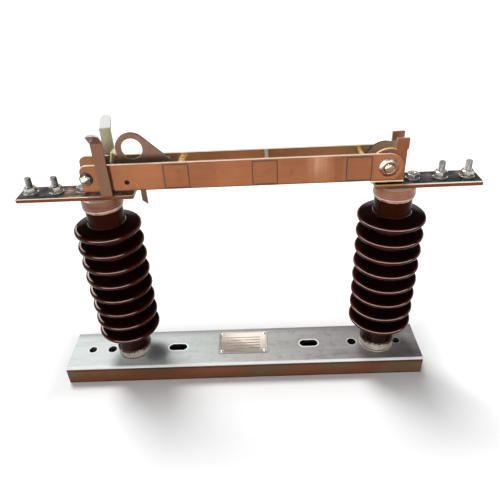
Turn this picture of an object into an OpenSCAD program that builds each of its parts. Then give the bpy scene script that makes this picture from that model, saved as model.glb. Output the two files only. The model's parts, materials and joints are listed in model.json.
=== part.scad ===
// Single-pole outdoor disconnect switch, all sizes in millimetres, Z up
// Origin on the floor, midway between the two post insulators; X runs along the blade to the hinge

/* [Base channel] */

// Reach of the channel beyond the nearer post's axis, at the hinge end
end_reach = 85; // [74:0.5:114]
// Width of the channel across the flanges
base_w = 106; // [90:1:130]
// Height of the channel from floor to top of web
base_h = 40; // [34:0.5:55]
// Thickness of the channel's sheet
sheet_t = 4; // [3:0.25:6]
// Outer radius of the channel's two bends
bend_r = 6; // [5:0.25:9]
// How far the channel's middle lies towards the jaw from the middle of the posts
base_shift = 25; // [15:0.5:32]
// Diameter of the hole near each end of the web
end_hole_d = 16; // [10:0.5:17]
// Distance of that hole's centre from the channel's end
end_hole_inset = 43; // [30:0.5:45]
// Diameter of the four holes for the posts, two of them spare
post_hole_d = 18; // [14:0.5:20]
// Length of the two mounting slots
slot_l = 38; // [24:0.5:50]
// Width of the two mounting slots
slot_w = 18; // [9:0.5:20]
// Distance of each slot's centre from the middle of the channel
slot_offset = 138; // [110:0.5:150]

/* [Rating plate] */

// Length of the bare plate riveted on the web
tag_l = 104; // [70:1:130]
// Width of the bare plate
tag_w = 66; // [40:1:70]
// How far the bare plate lies behind the middle of the web
tag_y = 8; // [0:0.5:10]
// Thickness of the bare plate
tag_t = 0.8; // [0.5:0.1:2]
// Radius of the plate's corners
tag_r = 4; // [2:0.25:8]

/* [Post insulators] */

// Distance between the two posts
post_pitch = 506; // [450:1:570]
// Diameter of the metal foot and cap of a post
fitting_d = 71.5; // [68:0.5:84]
// Height of the metal foot
foot_h = 22.5; // [18:0.5:34]
// Height of the metal cap
cap_h = 19.5; // [19:0.5:34]
// Height of the cement ring under the cap
cement_h = 5.5; // [3:0.5:12]
// Diameter of the cement ring
cement_d = 70; // [62:0.5:80]
// Length of the porcelain from foot to cement
porcelain_l = 318.5; // [290:0.5:350]
// Diameter of the porcelain core between sheds
core_d = 65; // [54:0.5:70]
// Diameter over a shed's rim
shed_d = 119.5; // [104:0.5:140]
// Number of sheds on a post
shed_n = 8; // [5:1:9]
// Radius of a shed's rounded rim
rim_r = 4.8; // [3:0.1:6]
// How far a shed's root rises above its rim
shed_rise = 9; // [7:0.25:10]
// How far a shed's root falls below its rim
shed_fall = 5.5; // [4.5:0.25:7]
// Radius of the fillets at a shed's root
root_r = 4; // [2:0.25:5]
// Height of the lowest rim above the foot
neck_low = 50; // [36:0.5:58]
// Height of the porcelain above the highest rim
neck_high = 39.5; // [30:0.5:50]

/* [Terminal plates] */

// Width of a terminal plate
plate_w = 50; // [44:0.5:64]
// Thickness of a terminal plate
plate_t = 6; // [4:0.25:9]
// Reach of a plate beyond its post's axis, outwards
plate_out = 139; // [124:0.5:160]
// Reach of the jaw plate beyond its post's axis, inwards
jaw_plate_in = 62; // [57:0.5:67]
// Reach of the hinge plate beyond its post's axis, inwards
hinge_plate_in = 39; // [34:0.5:48]
// Radius of the plates' corners
plate_r = 3; // [1:0.25:8]
// Diameter of the terminal studs and cap bolts
stud_d = 12; // [8:0.5:14]
// Free play between a stud and its hole, on the diameter
stud_play = 1; // [0.4:0.1:1.6]
// Distance between the two studs of a terminal
stud_pitch = 44.5; // [38:0.5:50]
// Distance of the outer stud from the plate's end
stud_inset = 20; // [16:0.5:28]
// Height of the studs above the plate
stud_h = 29; // [24:0.5:40]
// Distance of a plate's outer cap bolt from the post's axis
cap_bolt_out = 28; // [26:0.5:28]
// Distance of a plate's inner cap bolt from the post's axis
cap_bolt_in = 21; // [20.5:0.25:21.5]
// Bare neck of a stud between its nut and the thread's free end
stud_neck = 1; // [0.5:0.25:2]
// Chamfer at a stud's tip
stud_tip = 1.2; // [0.6:0.1:2]
// How deep a cap bolt goes into the cap
cap_bolt_depth = 15; // [10:0.5:18]

/* [Hinge] */

// Distance of the hinge pin inwards from its post's axis
hinge_inset = 20; // [14:0.5:26]
// Diameter of the hinge pin
pin_d = 14; // [10:0.5:18]
// Diameter of the domed washers on the hinge pin
dome_d = 32; // [24:0.5:38]
// Height of the domed washers
dome_h = 4; // [2.5:0.25:6]
// Thickness of the hinge bracket
lug_t = 5; // [4:0.25:7]
// Radius of the bracket's round head
lug_r = 30; // [26:0.5:34]
// Reach of the bracket's foot from the pin towards the jaw
lug_in = 25; // [21:0.5:26]
// Reach of the bracket from the pin, away from the jaw
lug_out = 28; // [26:0.5:34]
// Width of the bracket's stop posts
stop_w = 18; // [12:0.5:20]
// Height of the stop posts above the pin
stop_h = 46; // [40:0.5:60]
// How much wider the stop posts are at the top
stop_step = 2; // [1:0.25:4]

/* [Blade] */

// Height of a blade bar
bar_h = 46.5; // [40:0.5:52]
// Thickness of a blade bar
bar_t = 5; // [4:0.25:8]
// Clear gap between the two bars
bar_gap = 37; // [33:0.5:44]
// Clearance of the bars above the guide's foot
bar_clear = 5; // [5:0.25:9]
// Reach of the front bar beyond the jaw post's axis
tip_reach = 19; // [18:0.5:26]
// How much further the rear bar reaches
rear_extra = 12; // [0:0.5:16]
// Radius of the bars' upper corner at the tip
tip_r = 12; // [8:0.5:18]
// Radius of the bars' lower corner at the tip
tip_low_r = 4; // [2:0.25:8]
// Distance of the contact bolt from the jaw post's axis, outwards
press_x = 10; // [8:0.5:10.5]
// Diameter of the contact bolt
press_d = 10; // [8:0.5:11]
// Diameter of the contact bolt's washers
press_washer_d = 22; // [18:0.5:24]
// Distance of the middle tie plate from the hinge pin
tie_x = 198; // [160:1:230]
// Thickness of the middle tie plate
tie_t = 6; // [4:0.25:8]
// Height of the middle tie plate
tie_h = 30; // [20:0.5:36]
// Distance of the stop bar from the hinge pin
stop_bar_x = 42; // [40:0.5:46]
// Diameter of the stop bar
stop_bar_d = 7; // [5:0.25:9]
// Depth of the stop bar's middle below the top of the bars
stop_bar_drop = 6.5; // [6:0.25:9]

/* [Jaw] */

// Width of the guide arms along X
guide_w = 19; // [15:0.5:20]
// Thickness of the guide's flat bar
guide_t = 4; // [3:0.25:5]
// Distance of the guide's middle from the jaw post's axis, inwards
guide_x = 21; // [20.5:0.25:21.5]
// Clearance between a guide arm and the blade
guide_gap = 5; // [5:0.25:8]
// Height of the guide's straight arms above the top of the bars
guide_rise = 42; // [32:0.5:48]
// Length of the flared ends
flare_l = 27; // [18:0.5:34]
// Angle of the flared ends from upright
flare_a = 45; // [30:1:55]
// Chamfer at the corners of the flared ends
flare_cut = 5; // [3:0.25:7]
// Thickness of the jaw contact
jaw_t = 6; // [4.5:0.25:6.5]
// Length of the jaw contact along X
jaw_l = 28; // [26:0.5:29]
// Distance of the jaw contact's inner end from the jaw post's axis
jaw_in = 31; // [30:0.5:32]
// Height of the jaw contact's cheeks above the bars' lower edge
jaw_h = 29; // [22:0.5:31]

/* [Latch] */

// Distance of the latch pin from the jaw post's axis, inwards
latch_x = 56; // [55:0.5:57]
// Depth of the latch pin below the bars' middle
latch_drop = 8.5; // [7:0.25:9]
// Diameter of the latch pin
latch_pin_d = 8; // [7:0.25:9]
// Thickness of the lever
lever_t = 5; // [4:0.25:6]
// Radius of the lever's boss around its pin
lever_boss_r = 12; // [11:0.25:13]
// Distance of the pull ring's centre from the latch pin along X
ring_x = 12; // [10:0.5:14]
// Height of the pull ring's centre above the bars
ring_lift = 18; // [18:0.25:22]
// Inner diameter of the pull ring
ring_d = 35; // [30:0.5:35]
// Width of the pull ring's band
ring_band = 9.5; // [7:0.25:10]
// Angle at which the tail leaves the ring
tail_a = 46; // [42:1:50]
// Length of the tail's straight upper edge
tail_l = 66; // [60:0.5:68]
// Depth of the tail at its end
tail_w = 14; // [10:0.5:18]
// Clearance of the hook from the end of the jaw plate
hook_clear = 8.5; // [8:0.25:10]
// Width of the hook
hook_w = 9; // [7:0.25:10]
// Depth of the hook's tip below the jaw plate
hook_drop = 22; // [14:0.5:26]
// Rise of the hook's ramp
hook_ramp = 7; // [4:0.25:9]
// Thickness of the latch spring
leaf_t = 2; // [1.5:0.25:3]
// Width of the latch spring's free end
leaf_w = 27; // [22:0.5:28]
// Width of the latch spring's shank
leaf_shank_w = 14; // [13:0.25:14.5]
// Distance of the spring's shank from the latch pin along X
leaf_x = 27; // [26:0.25:28]
// Lean of the spring towards the ring
leaf_a = 13; // [9:0.5:14]
// Radius of the spring's eyes around the pin
eye_r = 8; // [7:0.25:9]
// Distance of the tail's spacer from the latch pin
spacer_x = 91; // [90:0.5:100]
// Diameter of the tail's spacer
spacer_d = 14; // [10:0.5:15]

/* [Hidden] */

// Overrun of every cut
over = 1;
// Flat gap between sliding faces
slip = 0.3;
// Running clearance of a pin in its hole, on the radius
run = 0.08;
// Finer steps on large curves
$fn = 48;

// Hex sizes in shares of the bolt's diameter
hex_af_share = 1.58;
hex_head_share = 0.64;
hex_nut_share = 0.84;
washer_d_share = 2.05;
washer_t_share = 0.2;
tap_share = 1.01;
post_bolt_share = 0.89;
post_depth_share = 0.7;
cap_washer_share = 1.06;
thread_root_share = 0.86;
// Middle point of a fillet in three flats, as a share of its radius
fillet_share = 1 - cos(45);
// Angle between the points of a shed's rim
rim_step = 22.5;
// Shares of a dome
dome_top_share = 0.62;
button_d_share = 0.58;
button_h_share = 1.1;
// Depth of the tail's spacer in shares of its diameter
spacer_drop_share = 0.75;

// Heights from the floor up
z_web = base_h;
z_foot = z_web + foot_h;
z_neck = z_foot + porcelain_l;
z_cap = z_neck + cement_h;
z_plate = z_cap + cap_h;
z_top = z_plate + plate_t;
z_bar_low = z_top + guide_t + bar_clear;
z_pin = z_bar_low + bar_h / 2;
z_bar_top = z_bar_low + bar_h;

// Places along X
x_jaw = -post_pitch / 2;
x_hinge = post_pitch / 2;
x_pin = x_hinge - hinge_inset;
x_press = x_jaw - press_x;
x_plate_end = x_jaw + jaw_plate_in;
x_latch = x_jaw + latch_x;
z_latch = z_pin - latch_drop;

// Half widths along Y
y_bar_in = bar_gap / 2;
y_bar_out = y_bar_in + bar_t;
y_lug = y_bar_in - slip;
y_guide = y_bar_out + guide_gap;

// Bolts
shank_r = stud_d / 2;
hole_r = (stud_d + stud_play) / 2;
tap_r = shank_r * tap_share;
root_shank_r = shank_r * thread_root_share;
hex_r = stud_d * hex_af_share / 2 / cos(30);
head_h = stud_d * hex_head_share;
nut_h = stud_d * hex_nut_share;
washer_r = stud_d * washer_d_share / 2;
washer_t = stud_d * washer_t_share;
post_bolt_d = post_hole_d * post_bolt_share;
post_bolt_depth = foot_h * post_depth_share;
z_free = z_top + washer_t + nut_h + stud_neck;

// Base and posts
base_l = post_pitch + 2 * (base_shift + end_reach);
core_r = core_d / 2;
shed_r = shed_d / 2;
shed_pitch = (porcelain_l - neck_low - neck_high) / (shed_n - 1);

// Pull ring
ring_ri = ring_d / 2;
ring_ro = ring_ri + ring_band;
ring_cx = x_latch + ring_x;
ring_cz = z_bar_top + ring_lift;
tail_x0 = ring_cx + ring_ro * cos(tail_a);
tail_z0 = ring_cz + ring_ro * sin(tail_a);
tail_x1 = tail_x0 + tail_l * sin(tail_a);
tail_z1 = tail_z0 - tail_l * cos(tail_a);
hook_x0 = x_plate_end + hook_clear;
hook_x1 = hook_x0 + hook_w;
hook_z = z_plate - hook_drop;
boss_z = z_latch - lever_boss_r;

// Latch spring
leaf_x0 = x_latch - leaf_x;
leaf_z0 = z_latch + lever_boss_r;
leaf_z1 = z_bar_top + ring_lift;
leaf_len = (leaf_z1 - leaf_z0) / cos(leaf_a);
leaf_wide_z = z_bar_top - leaf_t;
tab_in = lever_t / 2 + slip * 2;
tab_out = leaf_shank_w / 2;

// Solid of an outline drawn in X and Z, from y0 to y1
module slab(y0, y1) {
  translate([0, y1, 0]) rotate([90, 0, 0]) linear_extrude(height = y1 - y0) children();
}

// Solid of an outline drawn in Y and Z, from x0 to x1
module run_x(x0, x1) {
  translate([x0, 0, 0]) rotate([90, 0, 90]) linear_extrude(height = x1 - x0) children();
}

// Rod along Y from y0 to y1
module rod_y(r, y0, y1) {
  translate([0, y1, 0]) rotate([90, 0, 0]) cylinder(r = r, h = y1 - y0);
}

// The same solid in front and behind
module both_sides() {
  children();
  mirror([0, 1, 0]) children();
}

// Rectangle with four round corners
module soft_rect(x0, y0, x1, y1, r) {
  translate([x0 + r, y0]) square([x1 - x0 - 2 * r, y1 - y0]);
  translate([x0, y0 + r]) square([x1 - x0, y1 - y0 - 2 * r]);
  for (x = [x0 + r, x1 - r], y = [y0 + r, y1 - r]) translate([x, y]) circle(r = r);
}

// Outline of a sheet U, open upwards, its outer bends rounded
module u_shape(half_w, z0, z1, t, r) {
  difference() {
    u_fill(half_w, z0, z1, r);
    u_fill(half_w - t, z0 + t, z1 + over, r - t);
  }
}

// Filled U, rounded at its lower corners when r is above zero
module u_fill(half_w, z0, z1, r) {
  rr = max(r, 0);
  translate([-half_w, z0 + rr]) square([2 * half_w, z1 - z0 - rr]);
  translate([rr - half_w, z0]) square([2 * (half_w - rr), z1 - z0]);
  if (rr > 0) {
    for (s = [-1, 1]) translate([s * (half_w - rr), z0 + rr]) circle(r = rr);
  }
}

// Hexagon head or nut from z0 upwards
module hex_z(z0, h, r) {
  translate([0, 0, z0]) rotate([0, 0, 30]) cylinder(r = r, h = h, $fn = 6);
}

// Flat ring around Z
module ring_z(z0, h, ro, ri) {
  translate([0, 0, z0]) difference() {
    cylinder(r = ro, h = h);
    translate([0, 0, -over]) cylinder(r = ri, h = h + 2 * over);
  }
}

// Base channel

module channel_profile() {
  translate([0, base_h]) mirror([0, 1]) u_shape(base_w / 2, 0, base_h, sheet_t, bend_r);
}

module web_hole(x, d) {
  translate([x, 0, z_web - sheet_t - over]) cylinder(r = d / 2, h = sheet_t + 2 * over);
}

module web_slot(x) {
  end = (slot_l - slot_w) / 2;
  translate([0, 0, z_web - sheet_t - over]) linear_extrude(height = sheet_t + 2 * over) {
    translate([x - end, -slot_w / 2]) square([2 * end, slot_w]);
    for (s = [-1, 1]) translate([x + s * end, 0]) circle(r = slot_w / 2);
  }
}

module base_channel() {
  color([0.62, 0.64, 0.66]) difference() {
    run_x(-base_shift - base_l / 2, base_l / 2 - base_shift) channel_profile();
    for (s = [-1, 1]) {
      web_hole(s * (base_l / 2 - end_hole_inset) - base_shift, end_hole_d);
      web_slot(s * slot_offset - base_shift);
      web_hole(s * post_pitch / 2, post_hole_d);
      web_hole(s * post_pitch / 2 - 2 * base_shift, post_hole_d);
    }
  }
}

module rating_plate() {
  color([0.74, 0.7, 0.62]) translate([-base_shift, tag_y, z_web]) linear_extrude(height = tag_t)
    soft_rect(-tag_l / 2, -tag_w / 2, tag_l / 2, tag_w / 2, tag_r);
}

module post_bolts() {
  r = post_bolt_d / 2;
  under = z_web - sheet_t;
  head = post_bolt_d * hex_head_share;
  color([0.7, 0.71, 0.7]) for (x = [x_jaw, x_hinge]) translate([x, 0, 0]) {
    hex_z(under - head, head, post_bolt_d * hex_af_share / 2 / cos(30));
    translate([0, 0, under - head]) cylinder(r = r, h = head + sheet_t + post_bolt_depth);
  }
}

// Post insulators

module post_foot() {
  color([0.8, 0.79, 0.76]) translate([0, 0, z_web]) difference() {
    cylinder(r = fitting_d / 2, h = foot_h);
    translate([0, 0, -over]) cylinder(r = post_bolt_d / 2 * tap_share, h = post_bolt_depth + 2 * over);
  }
}

// Points of one shed from below to above, its rim at height z
function shed_points(z) = concat(
  [[core_r, z - shed_fall - root_r],
    [core_r + root_r * fillet_share, z - shed_fall - root_r * fillet_share],
    [core_r + root_r, z - shed_fall]],
  [for (a = [-90 : rim_step : 90]) [shed_r - rim_r + rim_r * cos(a), z + rim_r * sin(a)]],
  [[core_r + root_r, z + shed_rise],
    [core_r + root_r * fillet_share, z + shed_rise + root_r * fillet_share],
    [core_r, z + shed_rise + root_r]]);

module post_porcelain() {
  sheds = [for (i = [0 : shed_n - 1]) each shed_points(z_foot + neck_low + i * shed_pitch)];
  color([0.2, 0.08, 0.05]) rotate_extrude()
    polygon(concat([[0, z_foot], [core_r, z_foot]], sheds, [[core_r, z_neck], [0, z_neck]]));
}

module post_cement() {
  color([0.72, 0.66, 0.6]) translate([0, 0, z_neck]) cylinder(r = cement_d / 2, h = cement_h);
}

module post_cap() {
  color([0.5, 0.4, 0.36]) difference() {
    translate([0, 0, z_cap]) cylinder(r = fitting_d / 2, h = cap_h);
    for (x = [cap_bolt_out, -cap_bolt_in]) translate([x, 0, z_plate - cap_bolt_depth - over])
      cylinder(r = tap_r, h = cap_bolt_depth + 2 * over);
  }
}

module jaw_post_foot() { translate([x_jaw, 0, 0]) post_foot(); }
module hinge_post_foot() { translate([x_hinge, 0, 0]) post_foot(); }
module jaw_post_porcelain() { translate([x_jaw, 0, 0]) post_porcelain(); }
module hinge_post_porcelain() { translate([x_hinge, 0, 0]) post_porcelain(); }
module jaw_post_cement() { translate([x_jaw, 0, 0]) post_cement(); }
module hinge_post_cement() { translate([x_hinge, 0, 0]) post_cement(); }
module jaw_post_cap() { on_jaw_post() post_cap(); }
module hinge_post_cap() { on_hinge_post() post_cap(); }

// Terminal plates, drawn with the outer end towards plus X

module terminal_plate(inner) {
  color([0.6, 0.36, 0.24]) difference() {
    translate([0, 0, z_plate]) linear_extrude(height = plate_t)
      soft_rect(-inner, -plate_w / 2, plate_out, plate_w / 2, plate_r);
    for (x = [plate_out - stud_inset, plate_out - stud_inset - stud_pitch, cap_bolt_out, -cap_bolt_in])
      translate([x, 0, z_plate - over]) cylinder(r = hole_r, h = plate_t + 2 * over);
  }
}

module at_studs() {
  for (x = [plate_out - stud_inset, plate_out - stud_inset - stud_pitch]) translate([x, 0, 0]) children();
}

module terminal_studs() {
  color([0.75, 0.76, 0.75]) at_studs() {
    hex_z(z_plate - head_h, head_h, hex_r);
    translate([0, 0, z_plate - head_h]) cylinder(r = root_shank_r, h = head_h + plate_t + stud_h - stud_tip);
    translate([0, 0, z_free]) cylinder(r = shank_r, h = z_top + stud_h - stud_tip - z_free);
    translate([0, 0, z_top + stud_h - stud_tip]) cylinder(r1 = shank_r, r2 = shank_r - stud_tip, h = stud_tip);
  }
}

module stud_washers() {
  color([0.75, 0.76, 0.75]) at_studs() ring_z(z_top, washer_t, washer_r, hole_r);
}

module stud_nuts() {
  color([0.75, 0.76, 0.75]) at_studs() difference() {
    hex_z(z_top + washer_t, nut_h, hex_r);
    translate([0, 0, z_top]) cylinder(r = root_shank_r * tap_share, h = washer_t + nut_h + over);
  }
}

// Cap bolt at x that clamps a stack of the given height on the plate
module cap_bolt(x, stack) {
  seat = z_top + stack;
  translate([x, 0, 0]) {
    translate([0, 0, z_plate - cap_bolt_depth]) cylinder(r = shank_r, h = seat - z_plate + cap_bolt_depth + washer_t);
    translate([0, 0, seat]) cylinder(r = hex_r * cap_washer_share, h = washer_t);
    hex_z(seat + washer_t, head_h, hex_r);
  }
}

module on_jaw_post() { translate([x_jaw, 0, 0]) mirror([1, 0, 0]) children(); }
module on_hinge_post() { translate([x_hinge, 0, 0]) children(); }

module jaw_plate() { on_jaw_post() terminal_plate(jaw_plate_in); }
module hinge_plate() { on_hinge_post() terminal_plate(hinge_plate_in); }
module jaw_studs() { on_jaw_post() terminal_studs(); }
module hinge_studs() { on_hinge_post() terminal_studs(); }
module jaw_stud_washers() { on_jaw_post() stud_washers(); }
module hinge_stud_washers() { on_hinge_post() stud_washers(); }
module jaw_stud_nuts() { on_jaw_post() stud_nuts(); }
module hinge_stud_nuts() { on_hinge_post() stud_nuts(); }

module jaw_cap_bolts() {
  color([0.75, 0.76, 0.75]) on_jaw_post() {
    cap_bolt(cap_bolt_out, 0);
    cap_bolt(-cap_bolt_in, guide_t + jaw_t);
  }
}

module hinge_cap_bolts() {
  color([0.75, 0.76, 0.75]) on_hinge_post() {
    cap_bolt(cap_bolt_out, 0);
    cap_bolt(-cap_bolt_in, lug_t);
  }
}

// Hinge bracket

module lug_outline() {
  intersection() {
    union() {
      translate([x_pin, z_pin]) circle(r = lug_r);
      translate([x_pin - lug_in, z_top]) square([lug_in + lug_out, z_pin - z_top]);
    }
    translate([x_pin - 2 * lug_r, z_top]) square([2 * lug_r + lug_out, z_pin]);
  }
  translate([x_pin + lug_out - stop_w, z_pin]) square([stop_w, stop_h]);
  translate([x_pin + lug_out - stop_w, z_pin + lug_r - stop_step])
    square([stop_w + stop_step, stop_h - lug_r + stop_step]);
}

module hinge_bracket() {
  tall = z_pin + stop_h + over;
  color([0.6, 0.36, 0.24]) difference() {
    intersection() {
      run_x(x_pin - 2 * lug_r, x_pin + 2 * lug_r) u_shape(y_lug, z_top, tall, lug_t, lug_t + slip);
      slab(-bar_gap, bar_gap) lug_outline();
    }
    translate([x_pin, 0, z_pin]) rod_y(pin_d / 2 + run, -bar_gap, bar_gap);
    translate([x_hinge - cap_bolt_in, 0, z_top - over]) cylinder(r = hole_r, h = lug_t + 2 * over);
  }
}

// Jaw

module guide_profile() {
  z1 = z_bar_top + guide_rise;
  half = y_guide + guide_t;
  bend = guide_t * tan(flare_a / 2);
  out_y = y_guide + flare_l * sin(flare_a) + guide_t * cos(flare_a);
  out_z = z1 + flare_l * cos(flare_a) - guide_t * sin(flare_a);
  difference() {
    union() {
      u_fill(half, z_top, z1 - bend + over, guide_t + bar_clear / 2);
      guide_mouth(half, z1 - bend, flare_l, [[out_y, out_z], [-out_y, out_z]]);
    }
    u_fill(y_guide, z_top + guide_t, z1 + over, bar_clear / 2);
    guide_mouth(y_guide, z1, flare_l + over, []);
  }
}

// Space between the flared ends, with the corners of their outer faces if any
module guide_mouth(half, z0, reach, outer) {
  z1 = z_bar_top + guide_rise + reach * cos(flare_a);
  y1 = y_guide + reach * sin(flare_a);
  right = len(outer) > 0 ? [outer[0]] : [];
  left = len(outer) > 0 ? [outer[1]] : [];
  polygon(concat([[-half, z0], [half, z0]], right, [[y1, z1], [-y1, z1]], left));
}

module guide_outline() {
  x0 = x_jaw + guide_x - guide_w / 2;
  z1 = z_bar_top + guide_rise + flare_l * cos(flare_a);
  polygon([[x0, z_top], [x0 + guide_w, z_top], [x0 + guide_w, z1 - flare_cut], [x0 + guide_w - flare_cut, z1],
    [x0 + flare_cut, z1], [x0, z1 - flare_cut]]);
}

module guide_bracket() {
  reach = y_guide + guide_t + flare_l;
  color([0.48, 0.33, 0.27]) difference() {
    intersection() {
      run_x(x_jaw, x_jaw + 2 * guide_x) guide_profile();
      slab(-reach, reach) guide_outline();
    }
    translate([x_jaw + cap_bolt_in, 0, z_top - over]) cylinder(r = hole_r, h = guide_t + 2 * over);
  }
}

module jaw_contact() {
  z0 = z_top + guide_t;
  x1 = x_jaw + jaw_in;
  color([0.6, 0.36, 0.24]) difference() {
    intersection() {
      run_x(x1 - jaw_l, x1) u_shape(y_lug, z0, z_bar_low + jaw_h, jaw_t, jaw_t + slip);
      slab(-bar_gap, bar_gap) soft_rect(x1 - jaw_l, z0 - jaw_t * 2, x1, z_bar_low + jaw_h, jaw_t);
    }
    translate([x_jaw + cap_bolt_in, 0, z0 - over]) cylinder(r = hole_r, h = jaw_t + 2 * over);
  }
}

// Blade

module bar_outline(reach) {
  x_tip = x_jaw - reach;
  translate([x_pin, z_pin]) circle(r = bar_h / 2);
  translate([x_tip + tip_r, z_bar_low]) square([x_pin - x_tip - tip_r, bar_h]);
  translate([x_tip, z_bar_low + tip_low_r]) square([2 * tip_r, bar_h - tip_r - tip_low_r]);
  translate([x_tip + tip_r, z_bar_top - tip_r]) circle(r = tip_r);
  translate([x_tip + tip_low_r, z_bar_low + tip_low_r]) circle(r = tip_low_r);
  translate([x_tip + tip_low_r, z_bar_low]) square([2 * tip_r, bar_h / 2]);
}

module blade_bar(reach) {
  color([0.72, 0.45, 0.3]) slab(-y_bar_out, -y_bar_in) difference() {
    bar_outline(reach);
    translate([x_pin, z_pin]) circle(r = pin_d / 2 + run);
    translate([x_press, z_pin]) circle(r = press_d / 2 + run);
    translate([x_latch, z_latch]) circle(r = latch_pin_d / 2 + run);
  }
}

module front_bar() { blade_bar(tip_reach); }
module rear_bar() { mirror([0, 1, 0]) blade_bar(tip_reach + rear_extra); }

module hinge_pin() {
  y1 = y_bar_out + dome_h;
  button_r = dome_d * button_d_share / 2;
  button_h = dome_h * button_h_share;
  color([0.75, 0.74, 0.7]) translate([x_pin, 0, z_pin]) {
    rod_y(pin_d / 2, -y1, y1);
    both_sides() translate([0, -y1, 0]) rotate([90, 0, 0])
      cylinder(r1 = button_r, r2 = button_r * dome_top_share, h = button_h);
  }
}

module hinge_domes() {
  color([0.75, 0.74, 0.7]) both_sides() translate([x_pin, -y_bar_out, z_pin]) rotate([90, 0, 0]) difference() {
    cylinder(r1 = dome_d / 2, r2 = dome_d / 2 * dome_top_share, h = dome_h);
    translate([0, 0, -over]) cylinder(r = pin_d / 2 + run, h = dome_h + 2 * over);
  }
}

module contact_bolt() {
  t = press_d * washer_t_share;
  y1 = y_bar_out + t;
  r = press_d * hex_af_share / 2 / cos(30);
  head = press_d * hex_head_share;
  nut = press_d * hex_nut_share;
  color([0.75, 0.76, 0.75]) translate([x_press, 0, z_pin]) {
    rod_y(press_d / 2, -y1, y1 + nut + t);
    translate([0, -y1, 0]) rotate([90, 0, 0]) cylinder(r = r, h = head, $fn = 6);
    translate([0, y1 + nut, 0]) rotate([90, 0, 0]) cylinder(r = r, h = nut, $fn = 6);
  }
}

module contact_washers() {
  t = press_d * washer_t_share;
  color([0.3, 0.3, 0.3]) both_sides() translate([x_press, -y_bar_out, z_pin]) rotate([90, 0, 0])
    ring_z(0, t, press_washer_d / 2, press_d / 2 + run);
}

module tie_plate() {
  color([0.55, 0.55, 0.52]) translate([x_pin - tie_x - tie_t / 2, -y_bar_in, z_bar_top - tie_h])
    cube([tie_t, bar_gap, tie_h]);
}

module stop_bar() {
  color([0.78, 0.62, 0.28]) translate([x_pin - stop_bar_x, 0, z_bar_top - stop_bar_drop])
    rod_y(stop_bar_d / 2, -y_bar_in, y_bar_in);
}

module tail_spacer() {
  color([0.78, 0.62, 0.28]) translate([x_latch + spacer_x, 0, z_bar_top - spacer_d * spacer_drop_share])
    rod_y(spacer_d / 2, -y_bar_in, y_bar_in);
}

module latch_pin() {
  color([0.35, 0.32, 0.3]) translate([x_latch, 0, z_latch])
    rod_y(latch_pin_d / 2, -y_bar_out - slip, y_bar_out + slip);
}

module latch_bushes() {
  color([0.78, 0.62, 0.28]) both_sides() translate([x_latch, 0, z_latch]) difference() {
    rod_y(latch_pin_d, tab_out + slip, y_bar_in);
    rod_y(latch_pin_d / 2 + run, 0, bar_gap);
  }
}

// Latch

module lever_outline() {
  difference() {
    union() {
      translate([ring_cx, ring_cz]) circle(r = ring_ro);
      translate([x_latch, z_latch]) circle(r = lever_boss_r);
      polygon([[ring_cx - ring_ro, ring_cz], [x_latch - lever_boss_r, z_latch], [hook_x0, boss_z],
        [hook_x0, hook_z + hook_ramp], [hook_x1, hook_z], [hook_x1, boss_z],
        [tail_x1, tail_z1 - tail_w], [tail_x1, tail_z1], [tail_x0, tail_z0], [ring_cx, ring_cz]]);
    }
    translate([ring_cx, ring_cz]) circle(r = ring_ri);
    translate([x_latch, z_latch]) circle(r = latch_pin_d / 2 + run);
  }
}

module latch_lever() {
  color([0.42, 0.32, 0.26]) slab(-lever_t / 2, lever_t / 2) lever_outline();
}

module leaf_outline(z_from) {
  intersection() {
    translate([leaf_x0, leaf_z0]) rotate(-leaf_a) translate([-leaf_t, 0]) square([leaf_t, leaf_len]);
    translate([leaf_x0 - leaf_x, z_from]) square([2 * leaf_x, bar_h * 2]);
  }
}

module eye_outline() {
  difference() {
    union() {
      translate([x_latch, z_latch]) circle(r = eye_r);
      polygon([[x_latch, z_latch + eye_r], [leaf_x0 - leaf_t, leaf_z0 + leaf_t], [leaf_x0 - leaf_t, leaf_z0 - leaf_t],
        [x_latch, z_latch]]);
    }
    translate([x_latch, z_latch]) circle(r = latch_pin_d / 2 + run);
  }
}

module latch_spring() {
  color([0.85, 0.75, 0.45]) {
    slab(-leaf_shank_w / 2, leaf_shank_w / 2) leaf_outline(z_latch);
    slab(-leaf_w / 2, leaf_w / 2) leaf_outline(leaf_wide_z);
    both_sides() slab(tab_in, tab_out) eye_outline();
  }
}

base_channel();
rating_plate();
post_bolts();
jaw_post_foot();
jaw_post_porcelain();
jaw_post_cement();
jaw_post_cap();
hinge_post_foot();
hinge_post_porcelain();
hinge_post_cement();
hinge_post_cap();
jaw_plate();
hinge_plate();
jaw_studs();
hinge_studs();
jaw_stud_washers();
hinge_stud_washers();
jaw_stud_nuts();
hinge_stud_nuts();
jaw_cap_bolts();
hinge_cap_bolts();
guide_bracket();
jaw_contact();
hinge_bracket();
front_bar();
rear_bar();
hinge_pin();
hinge_domes();
contact_bolt();
contact_washers();
tie_plate();
stop_bar();
tail_spacer();
latch_pin();
latch_bushes();
latch_lever();
latch_spring();
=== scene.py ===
"""Looks of a single-pole outdoor disconnect switch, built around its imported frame, in metres."""
import json
from math import cos, pi, radians, sin, tan

import bmesh
import bpy
from mathutils import Euler, Matrix, Vector, noise

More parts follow.
